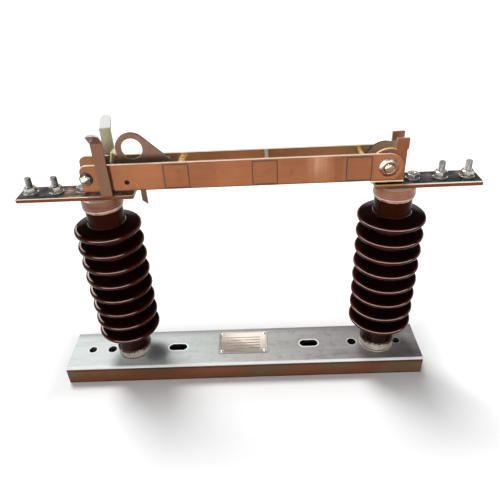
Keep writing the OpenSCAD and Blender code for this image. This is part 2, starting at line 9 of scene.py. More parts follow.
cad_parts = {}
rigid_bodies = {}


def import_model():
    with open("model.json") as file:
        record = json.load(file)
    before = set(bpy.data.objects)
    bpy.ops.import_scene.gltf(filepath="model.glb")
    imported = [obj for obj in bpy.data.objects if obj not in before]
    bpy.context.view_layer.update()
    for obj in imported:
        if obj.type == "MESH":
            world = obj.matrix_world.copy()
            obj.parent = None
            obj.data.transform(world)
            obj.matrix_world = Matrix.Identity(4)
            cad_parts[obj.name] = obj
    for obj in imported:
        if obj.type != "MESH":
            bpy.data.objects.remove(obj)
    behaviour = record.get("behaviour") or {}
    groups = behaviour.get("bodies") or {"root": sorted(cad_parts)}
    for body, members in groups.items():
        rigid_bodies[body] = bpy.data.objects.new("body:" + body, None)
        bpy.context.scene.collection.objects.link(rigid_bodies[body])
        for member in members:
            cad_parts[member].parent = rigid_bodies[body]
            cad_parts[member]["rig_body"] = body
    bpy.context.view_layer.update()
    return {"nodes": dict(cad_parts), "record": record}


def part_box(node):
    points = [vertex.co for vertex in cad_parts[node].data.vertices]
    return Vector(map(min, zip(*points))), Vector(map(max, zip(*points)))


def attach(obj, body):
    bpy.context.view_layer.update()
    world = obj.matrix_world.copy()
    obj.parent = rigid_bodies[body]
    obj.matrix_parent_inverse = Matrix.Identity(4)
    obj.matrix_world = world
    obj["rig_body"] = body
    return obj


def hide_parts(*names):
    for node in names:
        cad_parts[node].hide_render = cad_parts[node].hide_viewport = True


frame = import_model()
NODES = frame["nodes"]
SLOTS = {part["node"]: part["material_slot"] for part in frame["record"]["subparts"]}
MM = 0.001
TURN = 2 * pi
IN_PLACE = Matrix.Identity(4)
Socket = bpy.types.NodeSocket
scene = bpy.context.scene


# Shader nodes

def linear(tone):
    """Linear colour of an 8-bit sRGB one; a socket or a colour with alpha stays as it is."""
    if not isinstance(tone, tuple) or len(tone) != 3:
        return tone
    shares = [value / 255 for value in tone]
    return (*[s / 12.92 if s <= 0.04045 else ((s + 0.055) / 1.055) ** 2.4 for s in shares], 1.0)


class Nodes:
    """Builder of a node tree: each method adds nodes and returns an output socket."""

    def __init__(self, tree):
        self.tree = tree

    def feed(self, socket, value):
        """Links or sets an input; (value, low, high) stands for a step."""
        if isinstance(value, tuple) and isinstance(value[0], Socket):
            value = self.step(*value)
        if isinstance(value, Socket):
            self.tree.links.new(value, socket)
        else:
            socket.default_value = value

    def node(self, kind, inputs, output=0, **settings):
        made = self.tree.nodes.new(kind)
        for name, value in settings.items():
            setattr(made, name, value)
        for key, value in inputs.items():
            self.feed(made.inputs[key], value)
        return made.outputs[output]

    def split(self, vector):
        """The three components of a vector."""
        made = self.tree.nodes.new("ShaderNodeSeparateXYZ")
        self.feed(made.inputs[0], vector)
        return list(made.outputs)

    def along(self, vector, way):
        return self.node("ShaderNodeVectorMath", {0: vector, 1: way}, "Value", operation="DOT_PRODUCT")

    def sum(self, kind, a, b=0.0):
        return self.node("ShaderNodeMath", {0: a, 1: b}, operation=kind)

    def plus(self, a, b):
        return self.sum("ADD", a, b)

    def minus(self, a, b):
        return self.sum("SUBTRACT", a, b)

    def size(self, value):
        return self.sum("ABSOLUTE", value)

    def times(self, result, *others):
        for other in others:
            result = self.sum("MULTIPLY", result, other)
        return result

    def most(self, result, *others):
        for other in others:
            result = self.sum("MAXIMUM", result, other)
        return result

    def squares(self, a, b):
        return self.plus(self.times(a, a), self.times(b, b))

    def reach(self, a, b):
        return self.sum("SQRT", self.squares(a, b))

    def step(self, value, low, high):
        """A smooth step from 0 at low to 1 at high."""
        inputs = {"Value": value, "From Min": low, "From Max": high}
        return self.node("ShaderNodeMapRange", inputs, interpolation_type="SMOOTHSTEP")

    def band(self, value, start, full, last, end):
        """0 up to start, 1 from full to last, and 0 again from end on."""
        return self.times(self.step(value, start, full), self.step(value, end, last))

    def span(self, value, low, high):
        """A straight run from low to high as value goes from 0 to 1."""
        return self.node("ShaderNodeMapRange", {"Value": value, "To Min": low, "To Max": high})

    def shown(self):
        """1 for rays that show what they meet, straight, mirrored or through glass."""
        path = self.tree.nodes.new("ShaderNodeLightPath")
        return self.most(*[path.outputs[f"Is {kind} Ray"] for kind in ("Camera", "Glossy", "Transmission")])


class Coat(Nodes):
    """A node material in the making."""

    def __init__(self, name, metallic=0.0, specular=0.5):
        self.material = bpy.data.materials.new(name)
        self.material.use_nodes = True
        super().__init__(self.material.node_tree)
        self.shader = self.tree.nodes["Principled BSDF"]
        self.set("Metallic", metallic)
        self.set("Specular IOR Level", specular)
        coords = self.tree.nodes.new("ShaderNodeTexCoord")
        self.place = coords.outputs["Object"]
        self.facing = coords.outputs["Normal"]
        self.x, self.y, self.z = self.split(self.place)
        _, self.facing_y, self.up = self.split(self.facing)

    def set(self, name, value):
        self.feed(self.shader.inputs[name], value)

    def noise(self, scale, detail=3.0, stretch=(1, 1, 1), turn=(0, 0, 0), rough=0.55, warp=0.0):
        """Noise from 0 to 1, scale features a metre; stretch multiplies that along each axis."""
        spot = self.node("ShaderNodeMapping", {"Vector": self.place, "Scale": stretch, "Rotation": turn})
        inputs = {"Vector": spot, "Scale": scale, "Detail": detail, "Roughness": rough, "Distortion": warp}
        return self.node("ShaderNodeTexNoise", inputs)

    def ramp(self, value, *stops):
        """Colour that runs through the stops, a place from 0 to 1 and a tone in turn."""
        made = self.tree.nodes.new("ShaderNodeValToRGB")
        self.feed(made.inputs[0], value)
        elements = made.color_ramp.elements
        for index, (spot, tone) in enumerate(zip(stops[::2], stops[1::2])):
            element = elements[index] if index < len(elements) else elements.new(spot)
            element.position = spot
            element.color = linear(tone)
        return made.outputs["Color"]

    def mix(self, share, a, b, strength=1.0):
        """Colour a where share is 0, and b in the given strength where it is 1."""
        made = self.tree.nodes.new("ShaderNodeMix")
        made.data_type = "RGBA"
        self.feed(made.inputs[0], share if strength == 1.0 else self.times(share, strength))
        self.feed(made.inputs[6], linear(a))
        self.feed(made.inputs[7], linear(b))
        return made.outputs[2]

    def lay(self, share, tone, strength=1.0):
        """Lays a tone over the colour so far."""
        self.colour = self.mix(share, self.colour, tone, strength)

    def done(self, value, smooth, rough, height=None, depth=0.0, strength=0.0):
        """The finished material, smooth to rough with value, and with a bump if height is given."""
        self.set("Base Color", self.colour)
        self.set("Roughness", self.span(value, smooth, rough))
        if height is not None:
            inputs = {"Height": height, "Distance": depth, "Strength": strength}
            self.set("Normal", self.node("ShaderNodeBump", inputs))
        return self.material


# Masks that several finishes share

def hinge_end(coat):
    """0 at the jaw end of the switch, 1 at the hinge end."""
    return coat.step(coat.x, -0.05, 0.05)


def rear_of(coat):
    return coat.step(coat.y, -0.002, 0.002)


def outside_of(coat):
    """1 on faces that look away from the blade's middle plane, 0 on the others."""
    return coat.step(coat.times(coat.sum("SIGN", coat.y), coat.facing_y), -0.1, 0.4)


def post_middle(end):
    low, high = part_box(end + "_post_foot")
    return (low.x + high.x) / 2


# Channel and rating plate

# Holes of the web: distance from its middle, half straight length, radius, in millimetres
WEB_HOLES = ((320, 0, 8), (278, 0, 9), (228, 0, 9), (138, 10, 9))
# A rim's edges past its hole, in millimetres, and its strength around a round one
RIM_OUTER, RIM_INNER, ROUND_RIM_SHARE = 3.4, 1.8, 0.35
# Painted shadow beside the jaw foot: its place from the post's middle and its radius
FOOT_SHADOW_X, FOOT_SHADOW_Y, FOOT_SHADOW_R = 47 * MM, -12 * MM, 30 * MM


def galvanised():
    """Zinc on the channel: web, flanges with a painted brown reflection, a painted highlight on the front
    bends, a painted dark reflection on the rear ones, and painted near-black shade where it is hidden.
    """
    coat = Coat("galvanised", metallic=0.1, specular=0.2)
    up = coat.up
    smear = coat.noise(3.0, 5, stretch=(0.8, 5, 5), turn=(0, 0, radians(8)), warp=0.6)
    fine = coat.noise(26, 4, stretch=(0.25, 6, 6))
    side = coat.step(coat.size(coat.facing_y), 0.8, 0.97)
    coat.colour = coat.mix(side, web_zinc(coat, smear, fine), flange_reflection(coat, fine))
    # Painted highlight on the front bends and painted dark reflection on the rear bends
    behind = coat.step(coat.facing_y, 0.0, 0.2)
    bend = coat.mix(behind, (252, 252, 248), (112, 110, 114))
    coat.lay(coat.band(up, 0.12, 0.45, 0.9, 0.995), bend)
    # Painted near-black shade on the inner faces, the hole walls and the undersides
    inward = coat.step(coat.times(coat.y, coat.facing_y), -0.02, -0.035)
    bore = coat.times((coat.size(coat.y), 0.03, 0.025), (up, 0.5, 0.2))
    painted_shade = coat.most(inward, bore, (up, -0.5, -0.8))
    coat.lay(painted_shade, (14, 11, 10))
    return coat.done(smear, 0.3, 0.5, fine, 0.0001, 0.25)


def web_zinc(coat, smear, fine):
    """The web: pale at the jaw end and darker at the hinge end, a painted sky reflection and shade, scuffed
    at the hinge end and scratched all over.
    """
    low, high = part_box("base_channel")
    # Painted sky reflection at the jaw end running into painted shade at the hinge end, broken by smears
    along = coat.step(coat.x, low.x - 0.02, high.x + 0.05)
    shade_and_smear = coat.plus(along, coat.span(smear, -0.38, 0.38))
    web = coat.ramp(shade_and_smear, 0.0, (206, 213, 212), 0.3, (184, 189, 186), 0.62, (172, 170, 166),
                    0.8, (150, 145, 144), 1.0, (112, 104, 105))
    web = coat.mix(coat.span(fine, 0.0, 0.22), web, (228, 226, 224))
    scuff = coat.noise(13, 6, stretch=(0.4, 2.2, 2.2), turn=(0, 0, radians(-12)), rough=0.7)
    scuff = coat.times((scuff, 0.52, 0.68), coat.span(along, 0.2, 0.7))
    web = coat.mix(scuff, web, (112, 108, 106))
    mottle = coat.noise(70, 5, rough=0.7)
    mottle = coat.times((mottle, 0.5, 0.66), coat.span(along, 0.05, 0.4))
    web = coat.mix(mottle, web, (104, 98, 98))
    scratch = coat.noise(40, 2, stretch=(0.06, 3, 3), turn=(0, 0, radians(24)))
    web = coat.mix((scratch, 0.68, 0.74), web, (238, 236, 232), 0.6)
    web = coat.mix((coat.y, high.y - 0.022, high.y - 0.004), web, (118, 116, 120), 0.5)
    # Painted shadow on the web beside the jaw foot
    off = coat.squares(coat.minus(coat.x, post_middle("jaw") + FOOT_SHADOW_X), coat.minus(coat.y, FOOT_SHADOW_Y))
    grime_and_shadow = coat.step(off, 1.2 * FOOT_SHADOW_R ** 2, 0.1 * FOOT_SHADOW_R ** 2)
    web = coat.mix(grime_and_shadow, web, (66, 62, 60), 0.62)
    return coat.mix(hole_rims(coat), web, (250, 250, 248))


def hole_rims(coat):
    """Bright rims around the web's slots, fainter around its round holes, on both halves."""
    low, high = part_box("base_channel")
    fold = coat.size(coat.minus(coat.x, (low.x + high.x) / 2))
    rims = []
    for centre, half, radius in WEB_HOLES:
        off = coat.size(coat.minus(fold, centre * MM))
        past = coat.most(coat.minus(off, half * MM), 0.0)
        edge = coat.reach(past, coat.y)
        rim = coat.step(edge, (radius + RIM_OUTER) * MM, (radius + RIM_INNER) * MM)
        rims.append(rim if half else coat.times(rim, ROUND_RIM_SHARE))
    return coat.most(*rims)


def flange_reflection(coat, fine):
    """The flanges: a painted brown reflection with olive patches, dark under the web and along the lower
    edge.
    """
    low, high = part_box("base_channel")
    patch = coat.noise(7, 2, stretch=(1, 1, 2.2), turn=(0, radians(35), 0))
    flange = coat.ramp(patch, 0.40, (120, 68, 42), 0.54, (110, 66, 42), 0.64, (92, 74, 50),
                       0.74, (98, 90, 66))
    slant = coat.minus(coat.x, coat.times(coat.z, 0.9))
    flange = coat.mix((slant, high.x - 0.106, high.x - 0.092), flange, (102, 92, 68), 0.75)
    flange = coat.mix(coat.span(fine, 0.0, 0.3), flange, (136, 84, 56))
    flange = coat.mix((coat.z, high.z - 0.011, high.z - 0.0065), flange, (70, 42, 30))
    return coat.mix((coat.z, low.z + 0.004, low.z + 0.001), flange, (62, 40, 28))


def plate_metal():
    """Etched aluminium of the bare rating plate, with grime in its low places and painted shade on the sides
    of its steps.
    """
    coat = Coat("plate_metal", metallic=0.25)
    wipe = coat.noise(30, 4, stretch=(0.5, 3, 3))
    grime_and_shadow = coat.noise(150, 5, rough=0.7)
    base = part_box("rating_plate")[0].z
    coat.colour = coat.ramp(wipe, 0.25, (150, 138, 127), 0.5, (170, 160, 150), 0.8, (194, 186, 178))
    coat.lay((grime_and_shadow, 0.52, 0.72), (134, 116, 102), 0.6)
    coat.lay((coat.z, base + 0.0007, base + 0.0004), (166, 150, 138), 0.35)
    # Painted shade on the faces that do not look up
    coat.lay((coat.up, 0.96, 0.8), (104, 86, 74), 0.75)
    return coat.done(wipe, 0.3, 0.5, grime_and_shadow, 0.0004, 0.5)


# Bolts and posts

# The side of bolts and washers that keeps its painted light; a painted shade tone covers the rest
LIT_SIDE = (-0.42, -0.26, 0.87)


def zinc(name, dull, fair, warm, stain_and_shade=None, brink=0.62):
    """Zinc plate with tints and dull spots; a shade tone, if given, is painted over all but its lit side,
    else faces tilted up get a painted highlight and those facing down painted shade.
    """
    coat = Coat(name, metallic=0.9)
    blotch = coat.noise(90, 3)
    speck = coat.noise(500, 3)
    coat.colour = coat.ramp(blotch, 0.3, dull, 0.52, fair, 0.72, warm)
    coat.lay((speck, 0.58, 0.72), (104, 100, 94))
    if stain_and_shade:
        # Painted shade tone over all but the lit side
        ragged = coat.plus(coat.along(coat.facing, LIT_SIDE), coat.span(blotch, -0.15, 0.15))
        coat.lay((ragged, brink, brink - 0.22), stain_and_shade)
    else:
        # Painted shade facing down and a painted highlight on faces tilted up
        coat.lay((coat.up, 0.35, 0.15), (92, 88, 84), 0.45)
        coat.lay(coat.band(coat.up, 0.3, 0.45, 0.85, 0.97), (255, 254, 248))
    return coat.done(blotch, 0.14, 0.3, speck, 0.00008, 0.4)


def dark_steel():
    """Blackened steel, rubbed bright on its high spots."""
    coat = Coat("dark_steel", metallic=0.8)
    rub = coat.noise(140, 4)
    coat.colour = coat.ramp(rub, 0.35, (42, 40, 40), 0.6, (74, 72, 70), 0.8, (150, 146, 138))
    return coat.done(rub, 0.24, 0.42, rub, 0.00006, 0.3)


def foot_metal(name, pale, shade):
    """Cast foot with painted shade in the groove over its lip and ragged brown glaze along its upper edge."""
    coat = Coat(name, metallic=0.15)
    low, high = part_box("jaw_post_foot")
    cloud = coat.noise(45, 5)
    rag = coat.noise(60, 4, stretch=(1, 1, 0.3), rough=0.75)
    level = coat.plus(coat.z, coat.span(rag, -0.011, 0.011))
    coat.colour = coat.ramp(cloud, 0.3, shade, 0.7, pale)
    coat.lay((level, high.z - 0.011, high.z - 0.003), (140, 106, 86), 0.5)
    coat.lay((level, high.z - 0.0034, high.z - 0.0024), (58, 28, 19))
    # Painted shade in the groove over the lip
    groove = coat.band(coat.z, low.z + 0.0022, low.z + 0.0030, low.z + 0.0036, low.z + 0.0046)
    coat.lay(groove, (48, 44, 40))
    return coat.done(cloud, 0.24, 0.42, rag, 0.0005, 0.4)


def porcelain(end, broken):
    """Dark chocolate glaze, redder on the sheds' rims, with a painted highlight line along them.

    Where broken is set, the painted highlight has a gap at the front left, and left of that it lies further
    in.
    """
    glossy, dull = 0.18, 0.03
    coat = Coat(end + "_post", specular=glossy)
    coat.set("Specular Tint", (1.0, 0.32, 0.16, 1))
    low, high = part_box(end + "_post_porcelain")
    edge = (high.y - low.y) / 2
    x, y, up = coat.minus(coat.x, post_middle(end)), coat.y, coat.up
    reach = coat.reach(x, y)
    flow = coat.noise(22, 3, stretch=(1, 1, 0.6))
    drift = coat.noise(14, 2, stretch=(1, 1, 3))
    speck = coat.noise(420, 2)
    deep = coat.ramp(flow, 0.3, (18, 6, 4), 0.7, (30, 10, 6))
    rim = coat.ramp(flow, 0.3, (44, 14, 9), 0.7, (62, 23, 15))
    coat.colour = coat.mix((reach, edge - 0.007, edge - 0.0008), deep, rim)
    # Painted highlight along the rims' upper faces, strongest at the front
    line = coat.times(coat.band(up, 0.32, 0.44, 0.56, 0.68), (reach, edge - 0.006, edge - 0.004))
    turned = coat.sum("DIVIDE", x, reach)
    start, full = (-0.42, -0.18) if broken else (-0.99, -0.9)
    front = coat.times(coat.band(turned, start, full, 0.46, 0.62), (y, 0.012, 0.0))
    highlight_reach = coat.most(front, coat.times((drift, 0.5, 0.8), 0.4))
    coat.lay(coat.times(line, highlight_reach, coat.span(drift, 0.6, 1.0)), (226, 198, 184))
    if broken:
        # Painted highlight lying further in on the left
        inside = coat.band(reach, edge - 0.0066, edge - 0.0056, edge - 0.0040, edge - 0.0030)
        left = coat.times((turned, -0.62, -0.8), (y, 0.0, -0.012))
        coat.lay(coat.times(inside, left, (up, 0.5, 0.7)), (250, 226, 216))
    coat.lay((speck, 0.72, 0.8), (60, 28, 20))
    neck = coat.step(coat.z, high.z - 0.027, high.z - 0.024)
    coat.lay(neck, (48, 20, 10))
    dusty = coat.most(neck, (up, 0.5, 0.8))
    coat.set("Specular IOR Level", coat.span(dusty, glossy, dull))
    return coat.done(flow, 0.06, 0.12, flow, 0.0006, 0.1)


def cement():
    """Gritty cement squeezed out under a cap, stained brown, with a patchy painted highlight along its upper
    edge.
    """
    coat = Coat("cement")
    grit = coat.noise(260, 5, rough=0.7)
    stain_and_shade = coat.noise(60, 3)
    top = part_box("jaw_post_cement")[1].z
    coat.colour = coat.ramp(grit, 0.3, (168, 122, 94), 0.7, (214, 178, 150))
    coat.lay((stain_and_shade, 0.5, 0.68), (124, 80, 60))
    # Patchy painted highlight along the upper edge
    pale = coat.times((coat.z, top - 0.0018, top - 0.0008), (stain_and_shade, 0.42, 0.54))
    coat.lay(pale, (236, 218, 204))
    return coat.done(grit, 0.5, 0.8, grit, 0.0006, 0.6)


def cap_metal():
    """Satin mauve-brown cap with a painted highlight on its flat top and in patches along its lower lip, a
    little paler at the hinge end.
    """
    coat = Coat("cap_metal", metallic=0.45)
    cloud = coat.noise(24, 4, stretch=(1, 1, 2))
    turned = coat.noise(700, 2, stretch=(0.02, 0.02, 1))
    jaw = coat.ramp(cloud, 0.3, (102, 58, 40), 0.55, (120, 72, 50), 0.8, (142, 96, 74))
    hinge = coat.ramp(cloud, 0.3, (124, 76, 52), 0.55, (142, 92, 66), 0.8, (162, 112, 86))
    coat.colour = coat.mix(hinge_end(coat), jaw, hinge)
    # Painted highlight on the flat top
    coat.lay((coat.up, 0.5, 0.9), (246, 238, 230))
    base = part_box("jaw_post_cap")[0].z
    # Patchy painted highlight along the lower lip
    lip_highlight = coat.times((coat.z, base + 0.0024, base + 0.001), (cloud, 0.4, 0.5))
    coat.lay(lip_highlight, (236, 212, 196), 0.8)
    return coat.done(cloud, 0.26, 0.4, turned, 0.00005, 0.2)


# Copper and the small parts of the blade

def tinned_plate():
    """Copper plate, tinned dark on top and mottled with painted glints, browner at the jaw end, with a
    painted highlight along its upper edge.
    """
    metallic = 0.7
    coat = Coat("tinned_plate", metallic)
    mottle = coat.noise(38, 5, rough=0.65)
    brush = coat.noise(30, 3, stretch=(0.2, 6, 6))
    x, up, far = coat.x, coat.up, hinge_end(coat)
    # Mottle whose brightest spots are painted glints
    hinge = coat.ramp(mottle, 0.38, (16, 16, 20), 0.50, (40, 40, 46), 0.60, (96, 90, 88),
                      0.75, (156, 146, 138))
    jaw = coat.ramp(mottle, 0.38, (24, 23, 26), 0.50, (52, 50, 50), 0.62, (96, 90, 86),
                    0.78, (170, 160, 150))
    brown = coat.ramp(mottle, 0.38, (62, 44, 36), 0.50, (120, 88, 72), 0.62, (172, 134, 112),
                      0.78, (206, 180, 160))
    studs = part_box("jaw_stud_washers")[1].x
    jaw = coat.mix((x, studs - 0.004, studs + 0.006), jaw, brown)
    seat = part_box("hinge_bracket")[1].x
    hinge = coat.mix((x, seat + 0.002, seat - 0.001), hinge, (96, 66, 40))
    copper = coat.ramp(brush, 0.3, (106, 48, 20), 0.7, (126, 64, 32))
    coat.colour = coat.mix((up, 0.8, 0.95), copper, coat.mix(far, jaw, hinge))
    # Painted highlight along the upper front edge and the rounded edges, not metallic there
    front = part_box("jaw_plate")[0].y
    inset = coat.minus(coat.y, coat.span(far, 0.0, 0.0016))
    brink = coat.step(inset, front + 0.0036, front + 0.0022)
    edge = coat.times((up, 0.15, 0.3), coat.most(brink, (up, 0.995, 0.95)))
    by_bracket = coat.band(x, 0.0, 0.05, seat - 0.002, seat + 0.004)
    coat.lay(edge, coat.mix(by_bracket, (255, 242, 228), (255, 224, 168)))
    coat.set("Metallic", coat.span(edge, metallic, 0.0))
    return coat.done(mottle, 0.2, 0.4, mottle, 0.00015, 0.25)


# Duller stretches of the front bar by its labels: start and end along X in millimetres, and strength
DULL_STRETCHES = ((-135, -52, 0.14), (15, 46, 0.10), (147, 156, 0.34), (164, 206, 0.20))
STRETCH_FADE = 6 * MM


def bar_copper():
    """Copper bar: brushed, with rubbed streaks, dull stretches, a painted highlight on its upper edge and a
    paler inside.
    """
    metallic = 0.65
    coat = Coat("bar_copper", metallic)
    brush = coat.noise(22, 3, stretch=(0.15, 14, 14))
    cloud = coat.noise(9, 4)
    rub = coat.noise(60, 3, stretch=(3.0, 1, 0.1))
    x, z = coat.x, coat.z
    low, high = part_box("front_bar")
    face = coat.ramp(cloud, 0.3, (140, 82, 46), 0.52, (152, 92, 54), 0.75, (170, 108, 68))
    face = coat.mix(coat.span(brush, 0.0, 0.3), face, (190, 128, 92))
    for start, end, strength in DULL_STRETCHES:
        stretch = coat.band(x, start * MM - STRETCH_FADE, start * MM, end * MM, end * MM + STRETCH_FADE)
        face = coat.mix(stretch, face, (96, 54, 32), strength)
    fade = coat.span((z, low.z + 0.006, high.z - 0.008), 0.14, 0.62)
    streak = coat.span((rub, 0.40, 0.64), 0.45, 1.0)
    streak = coat.times(coat.band(x, 0.096, 0.118, 0.120, 0.142), streak, fade)
    face = coat.mix(streak, face, (232, 184, 150))
    face = coat.mix((z, low.z + 0.0032, low.z + 0.0008), face, (122, 68, 38))
    inner = coat.ramp(cloud, 0.3, (188, 148, 112), 0.7, (214, 172, 136))
    inner = coat.mix((x, 0.165, 0.185), inner, (186, 166, 126))
    inner = coat.mix((x, -0.212, -0.228), inner, (124, 108, 76))
    inner = coat.mix((x, -0.246, -0.256), inner, (150, 101, 66))
    coat.colour = coat.mix(outside_of(coat), inner, face)
    coat.lay((coat.noise(48, 3), 0.62, 0.74), (108, 64, 44), 0.4)
    # Painted highlight on the upper edge, not metallic there
    upper = coat.step(coat.up, 0.2, 0.5)
    coat.lay(upper, (250, 232, 214))
    coat.set("Metallic", coat.span(upper, metallic, 0.1))
    return coat.done(cloud, 0.11, 0.2, brush, 0.00005, 0.2)


BRACKET_METALLIC = 0.5
# The guide arms' flares start this far below their tips and take a painted highlight over the second length
FLARE, FLARE_FADE = 19 * MM, 4 * MM


def bent_copper(coat, cloud, outer, inner, shaded=None):
    """Colours bent sheet outside and inside, shaded inside the front arm if given; returns its grain."""
    grain = coat.noise(240, 4, stretch=(1, 1, 0.6), rough=0.7)
    face = coat.mix(coat.span(cloud, 0.0, 0.3), outer, (176, 122, 92))
    back = coat.mix(coat.span(cloud, 0.0, 0.4), inner, (186, 180, 156))
    if shaded:
        back = coat.mix((coat.y, 0.005, -0.005), back, shaded)
    coat.colour = coat.mix(outside_of(coat), back, face)
    coat.lay((grain, 0.5, 0.7), (74, 52, 42), 0.25)
    return grain


def guide_copper():
    """Guide bracket with a painted highlight on top of its flares, the rear one like enamel there."""
    coat = Coat("guide_copper", BRACKET_METALLIC)
    cloud = coat.noise(30, 4)
    grain = bent_copper(coat, cloud, (118, 84, 62), (170, 160, 130), (80, 86, 74))
    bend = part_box("guide_bracket")[1].z - FLARE
    # Painted highlight on top of the flares
    level = coat.plus(coat.z, coat.span(cloud, -0.003, 0.003))
    bright = coat.times((level, bend, bend + FLARE_FADE), (coat.up, 0.1, 0.4))
    coat.lay(bright, (250, 252, 250))
    coat.set("Metallic", coat.span(coat.times(bright, rear_of(coat)), BRACKET_METALLIC, 0.0))
    return coat.done(cloud, 0.26, 0.42, grain, 0.0001, 0.3)


def hinge_copper():
    """Hinge bracket: brown rear post, upper edges dark behind and a painted cream highlight in front, and a
    painted cream highlight line over painted black shadow on its foot.
    """
    coat = Coat("hinge_copper", BRACKET_METALLIC)
    cloud = coat.noise(30, 4)
    grain = bent_copper(coat, cloud, (124, 64, 22), (188, 158, 124))
    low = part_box("hinge_bracket")[0].z
    z, rear = coat.z, rear_of(coat)
    post = coat.times((z, low + 0.062, low + 0.066), (coat.facing_y, 0.5, -0.5), rear)
    coat.lay(post, (136, 94, 68))
    # Upper edges: dark on the rear post, a painted cream highlight in front
    upper = coat.times((coat.up, 0.3, 0.6), (z, low + 0.066, low + 0.064))
    coat.lay(coat.times(upper, rear), (52, 38, 28))
    # Painted black shadow on the foot's front face and a painted cream highlight line above it
    foot = coat.times((coat.facing_y, -0.6, -0.9), (z, low + 0.0036, low + 0.0028))
    coat.lay(foot, (26, 15, 9))
    line = coat.band(z, low + 0.0028, low + 0.0036, low + 0.0058, low + 0.0064)
    cream = coat.most(coat.times(upper, coat.minus(1.0, rear)), line)
    coat.lay(cream, (255, 232, 180))
    return coat.done(cloud, 0.26, 0.42, grain, 0.0001, 0.3)


def tie_metal():
    """Dull olive-grey plate between the bars."""
    coat = Coat("tie_metal", metallic=0.6)
    cloud = coat.noise(60, 4)
    coat.colour = coat.ramp(cloud, 0.3, (128, 120, 98), 0.7, (176, 168, 142))
    return coat.done(cloud, 0.3, 0.5, cloud, 0.0001, 0.3)


def gold_zinc(name, dull, fair, pale):
    """Yellow chromate on small parts, with brown and pale bloom."""
    coat = Coat(name, metallic=0.5)
    bloom = coat.noise(110, 4)
    coat.colour = coat.ramp(bloom, 0.3, dull, 0.5, fair, 0.72, pale)
    return coat.done(bloom, 0.18, 0.36, bloom, 0.00006, 0.3)


def lever_bronze():
    """Mauve-brown lever, a painted dark olive reflection between the bars and brown at the hook, with
    near-black sheared edges.
    """
    coat = Coat("lever_bronze", metallic=0.5)
    cloud = coat.noise(34, 4)
    brush = coat.noise(50, 3, stretch=(0.3, 5, 5), turn=(0, radians(40), 0))
    low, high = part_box("front_bar")
    face = coat.ramp(cloud, 0.3, (124, 88, 70), 0.7, (152, 112, 92))
    olive = coat.ramp(cloud, 0.3, (88, 78, 58), 0.7, (128, 114, 90))
    hook = coat.ramp(cloud, 0.3, (96, 64, 44), 0.7, (126, 88, 64))
    level = coat.plus(coat.z, coat.span(cloud, -0.004, 0.004))
    # Painted dark olive reflection between the bars
    coat.colour = coat.mix((level, high.z + 0.010, high.z - 0.002), face, olive)
    coat.lay((level, low.z + 0.008, low.z - 0.002), hook)
    edge = coat.step(coat.size(coat.facing_y), 0.75, 0.4)
    coat.lay(edge, (44, 34, 28))
    return coat.done(cloud, 0.26, 0.42, brush, 0.00008, 0.25)


def label_ink():
    """Thin dark print of the blank label frames, worn through in places."""
    coat = Coat("label_ink")
    wear = coat.noise(300, 3)
    coat.colour = coat.ramp(wear, 0.4, (44, 28, 24), 0.75, (74, 48, 38))
    return coat.done(wear, 0.4, 0.6, wear, 0.00002, 0.2)


# Finish of each material slot, and of the nodes that depart from their slot
FINISH = {
    "galvanised_steel": galvanised(),
    "zinc_steel": zinc("zinc", (190, 190, 186), (240, 239, 234), (240, 230, 208)),
    "tinned_copper": tinned_plate(),
    "gold_zinc": gold_zinc("gold_zinc", (170, 122, 52), (226, 188, 104), (246, 226, 170)),
}
for make in (plate_metal, dark_steel, cement, cap_metal, bar_copper, tie_metal, lever_bronze):
    FINISH[make.__name__] = make()
NODE_FINISH = {
    "jaw_post_foot": foot_metal("jaw_foot", (214, 210, 203), (164, 156, 145)),
    "hinge_post_foot": foot_metal("hinge_foot", (246, 238, 224), (192, 179, 162)),
    "jaw_post_porcelain": porcelain("jaw", True),
    "hinge_post_porcelain": porcelain("hinge", False),
    "guide_bracket": guide_copper(),
    "hinge_bracket": hinge_copper(),
    "hinge_domes": zinc("dome_zinc", (236, 228, 210), (255, 250, 232), (250, 238, 212), (126, 88, 64)),
    "hinge_pin": zinc("pin_zinc", (236, 230, 218), (255, 252, 240), (250, 240, 222), (144, 104, 84)),
    "latch_pin": zinc("pin_dark", (36, 24, 18), (50, 34, 26), (66, 46, 36), (36, 24, 18)),
    "jaw_studs": zinc("jaw_stud_zinc", (170, 170, 166), (218, 217, 213), (226, 216, 198), (104, 98, 92)),
    "hinge_studs": zinc("hinge_stud_zinc", (196, 196, 192), (240, 239, 235), (238, 230, 216),
                        (172, 169, 164)),
    "contact_bolt": zinc("contact_zinc", (214, 210, 190), (246, 242, 222), (248, 236, 206),
                         (92, 80, 66), 0.40),
    "latch_spring": gold_zinc("spring_zinc", (206, 186, 122), (236, 224, 172), (248, 242, 210)),
}
LABEL_INK = label_ink()
RULE_METAL = zinc("rule_metal", (104, 88, 76), (132, 114, 100), (156, 140, 124), (104, 88, 76))


def finish_of(node):
    return NODE_FINISH.get(node) or FINISH[SLOTS[node]]


# Mesh code

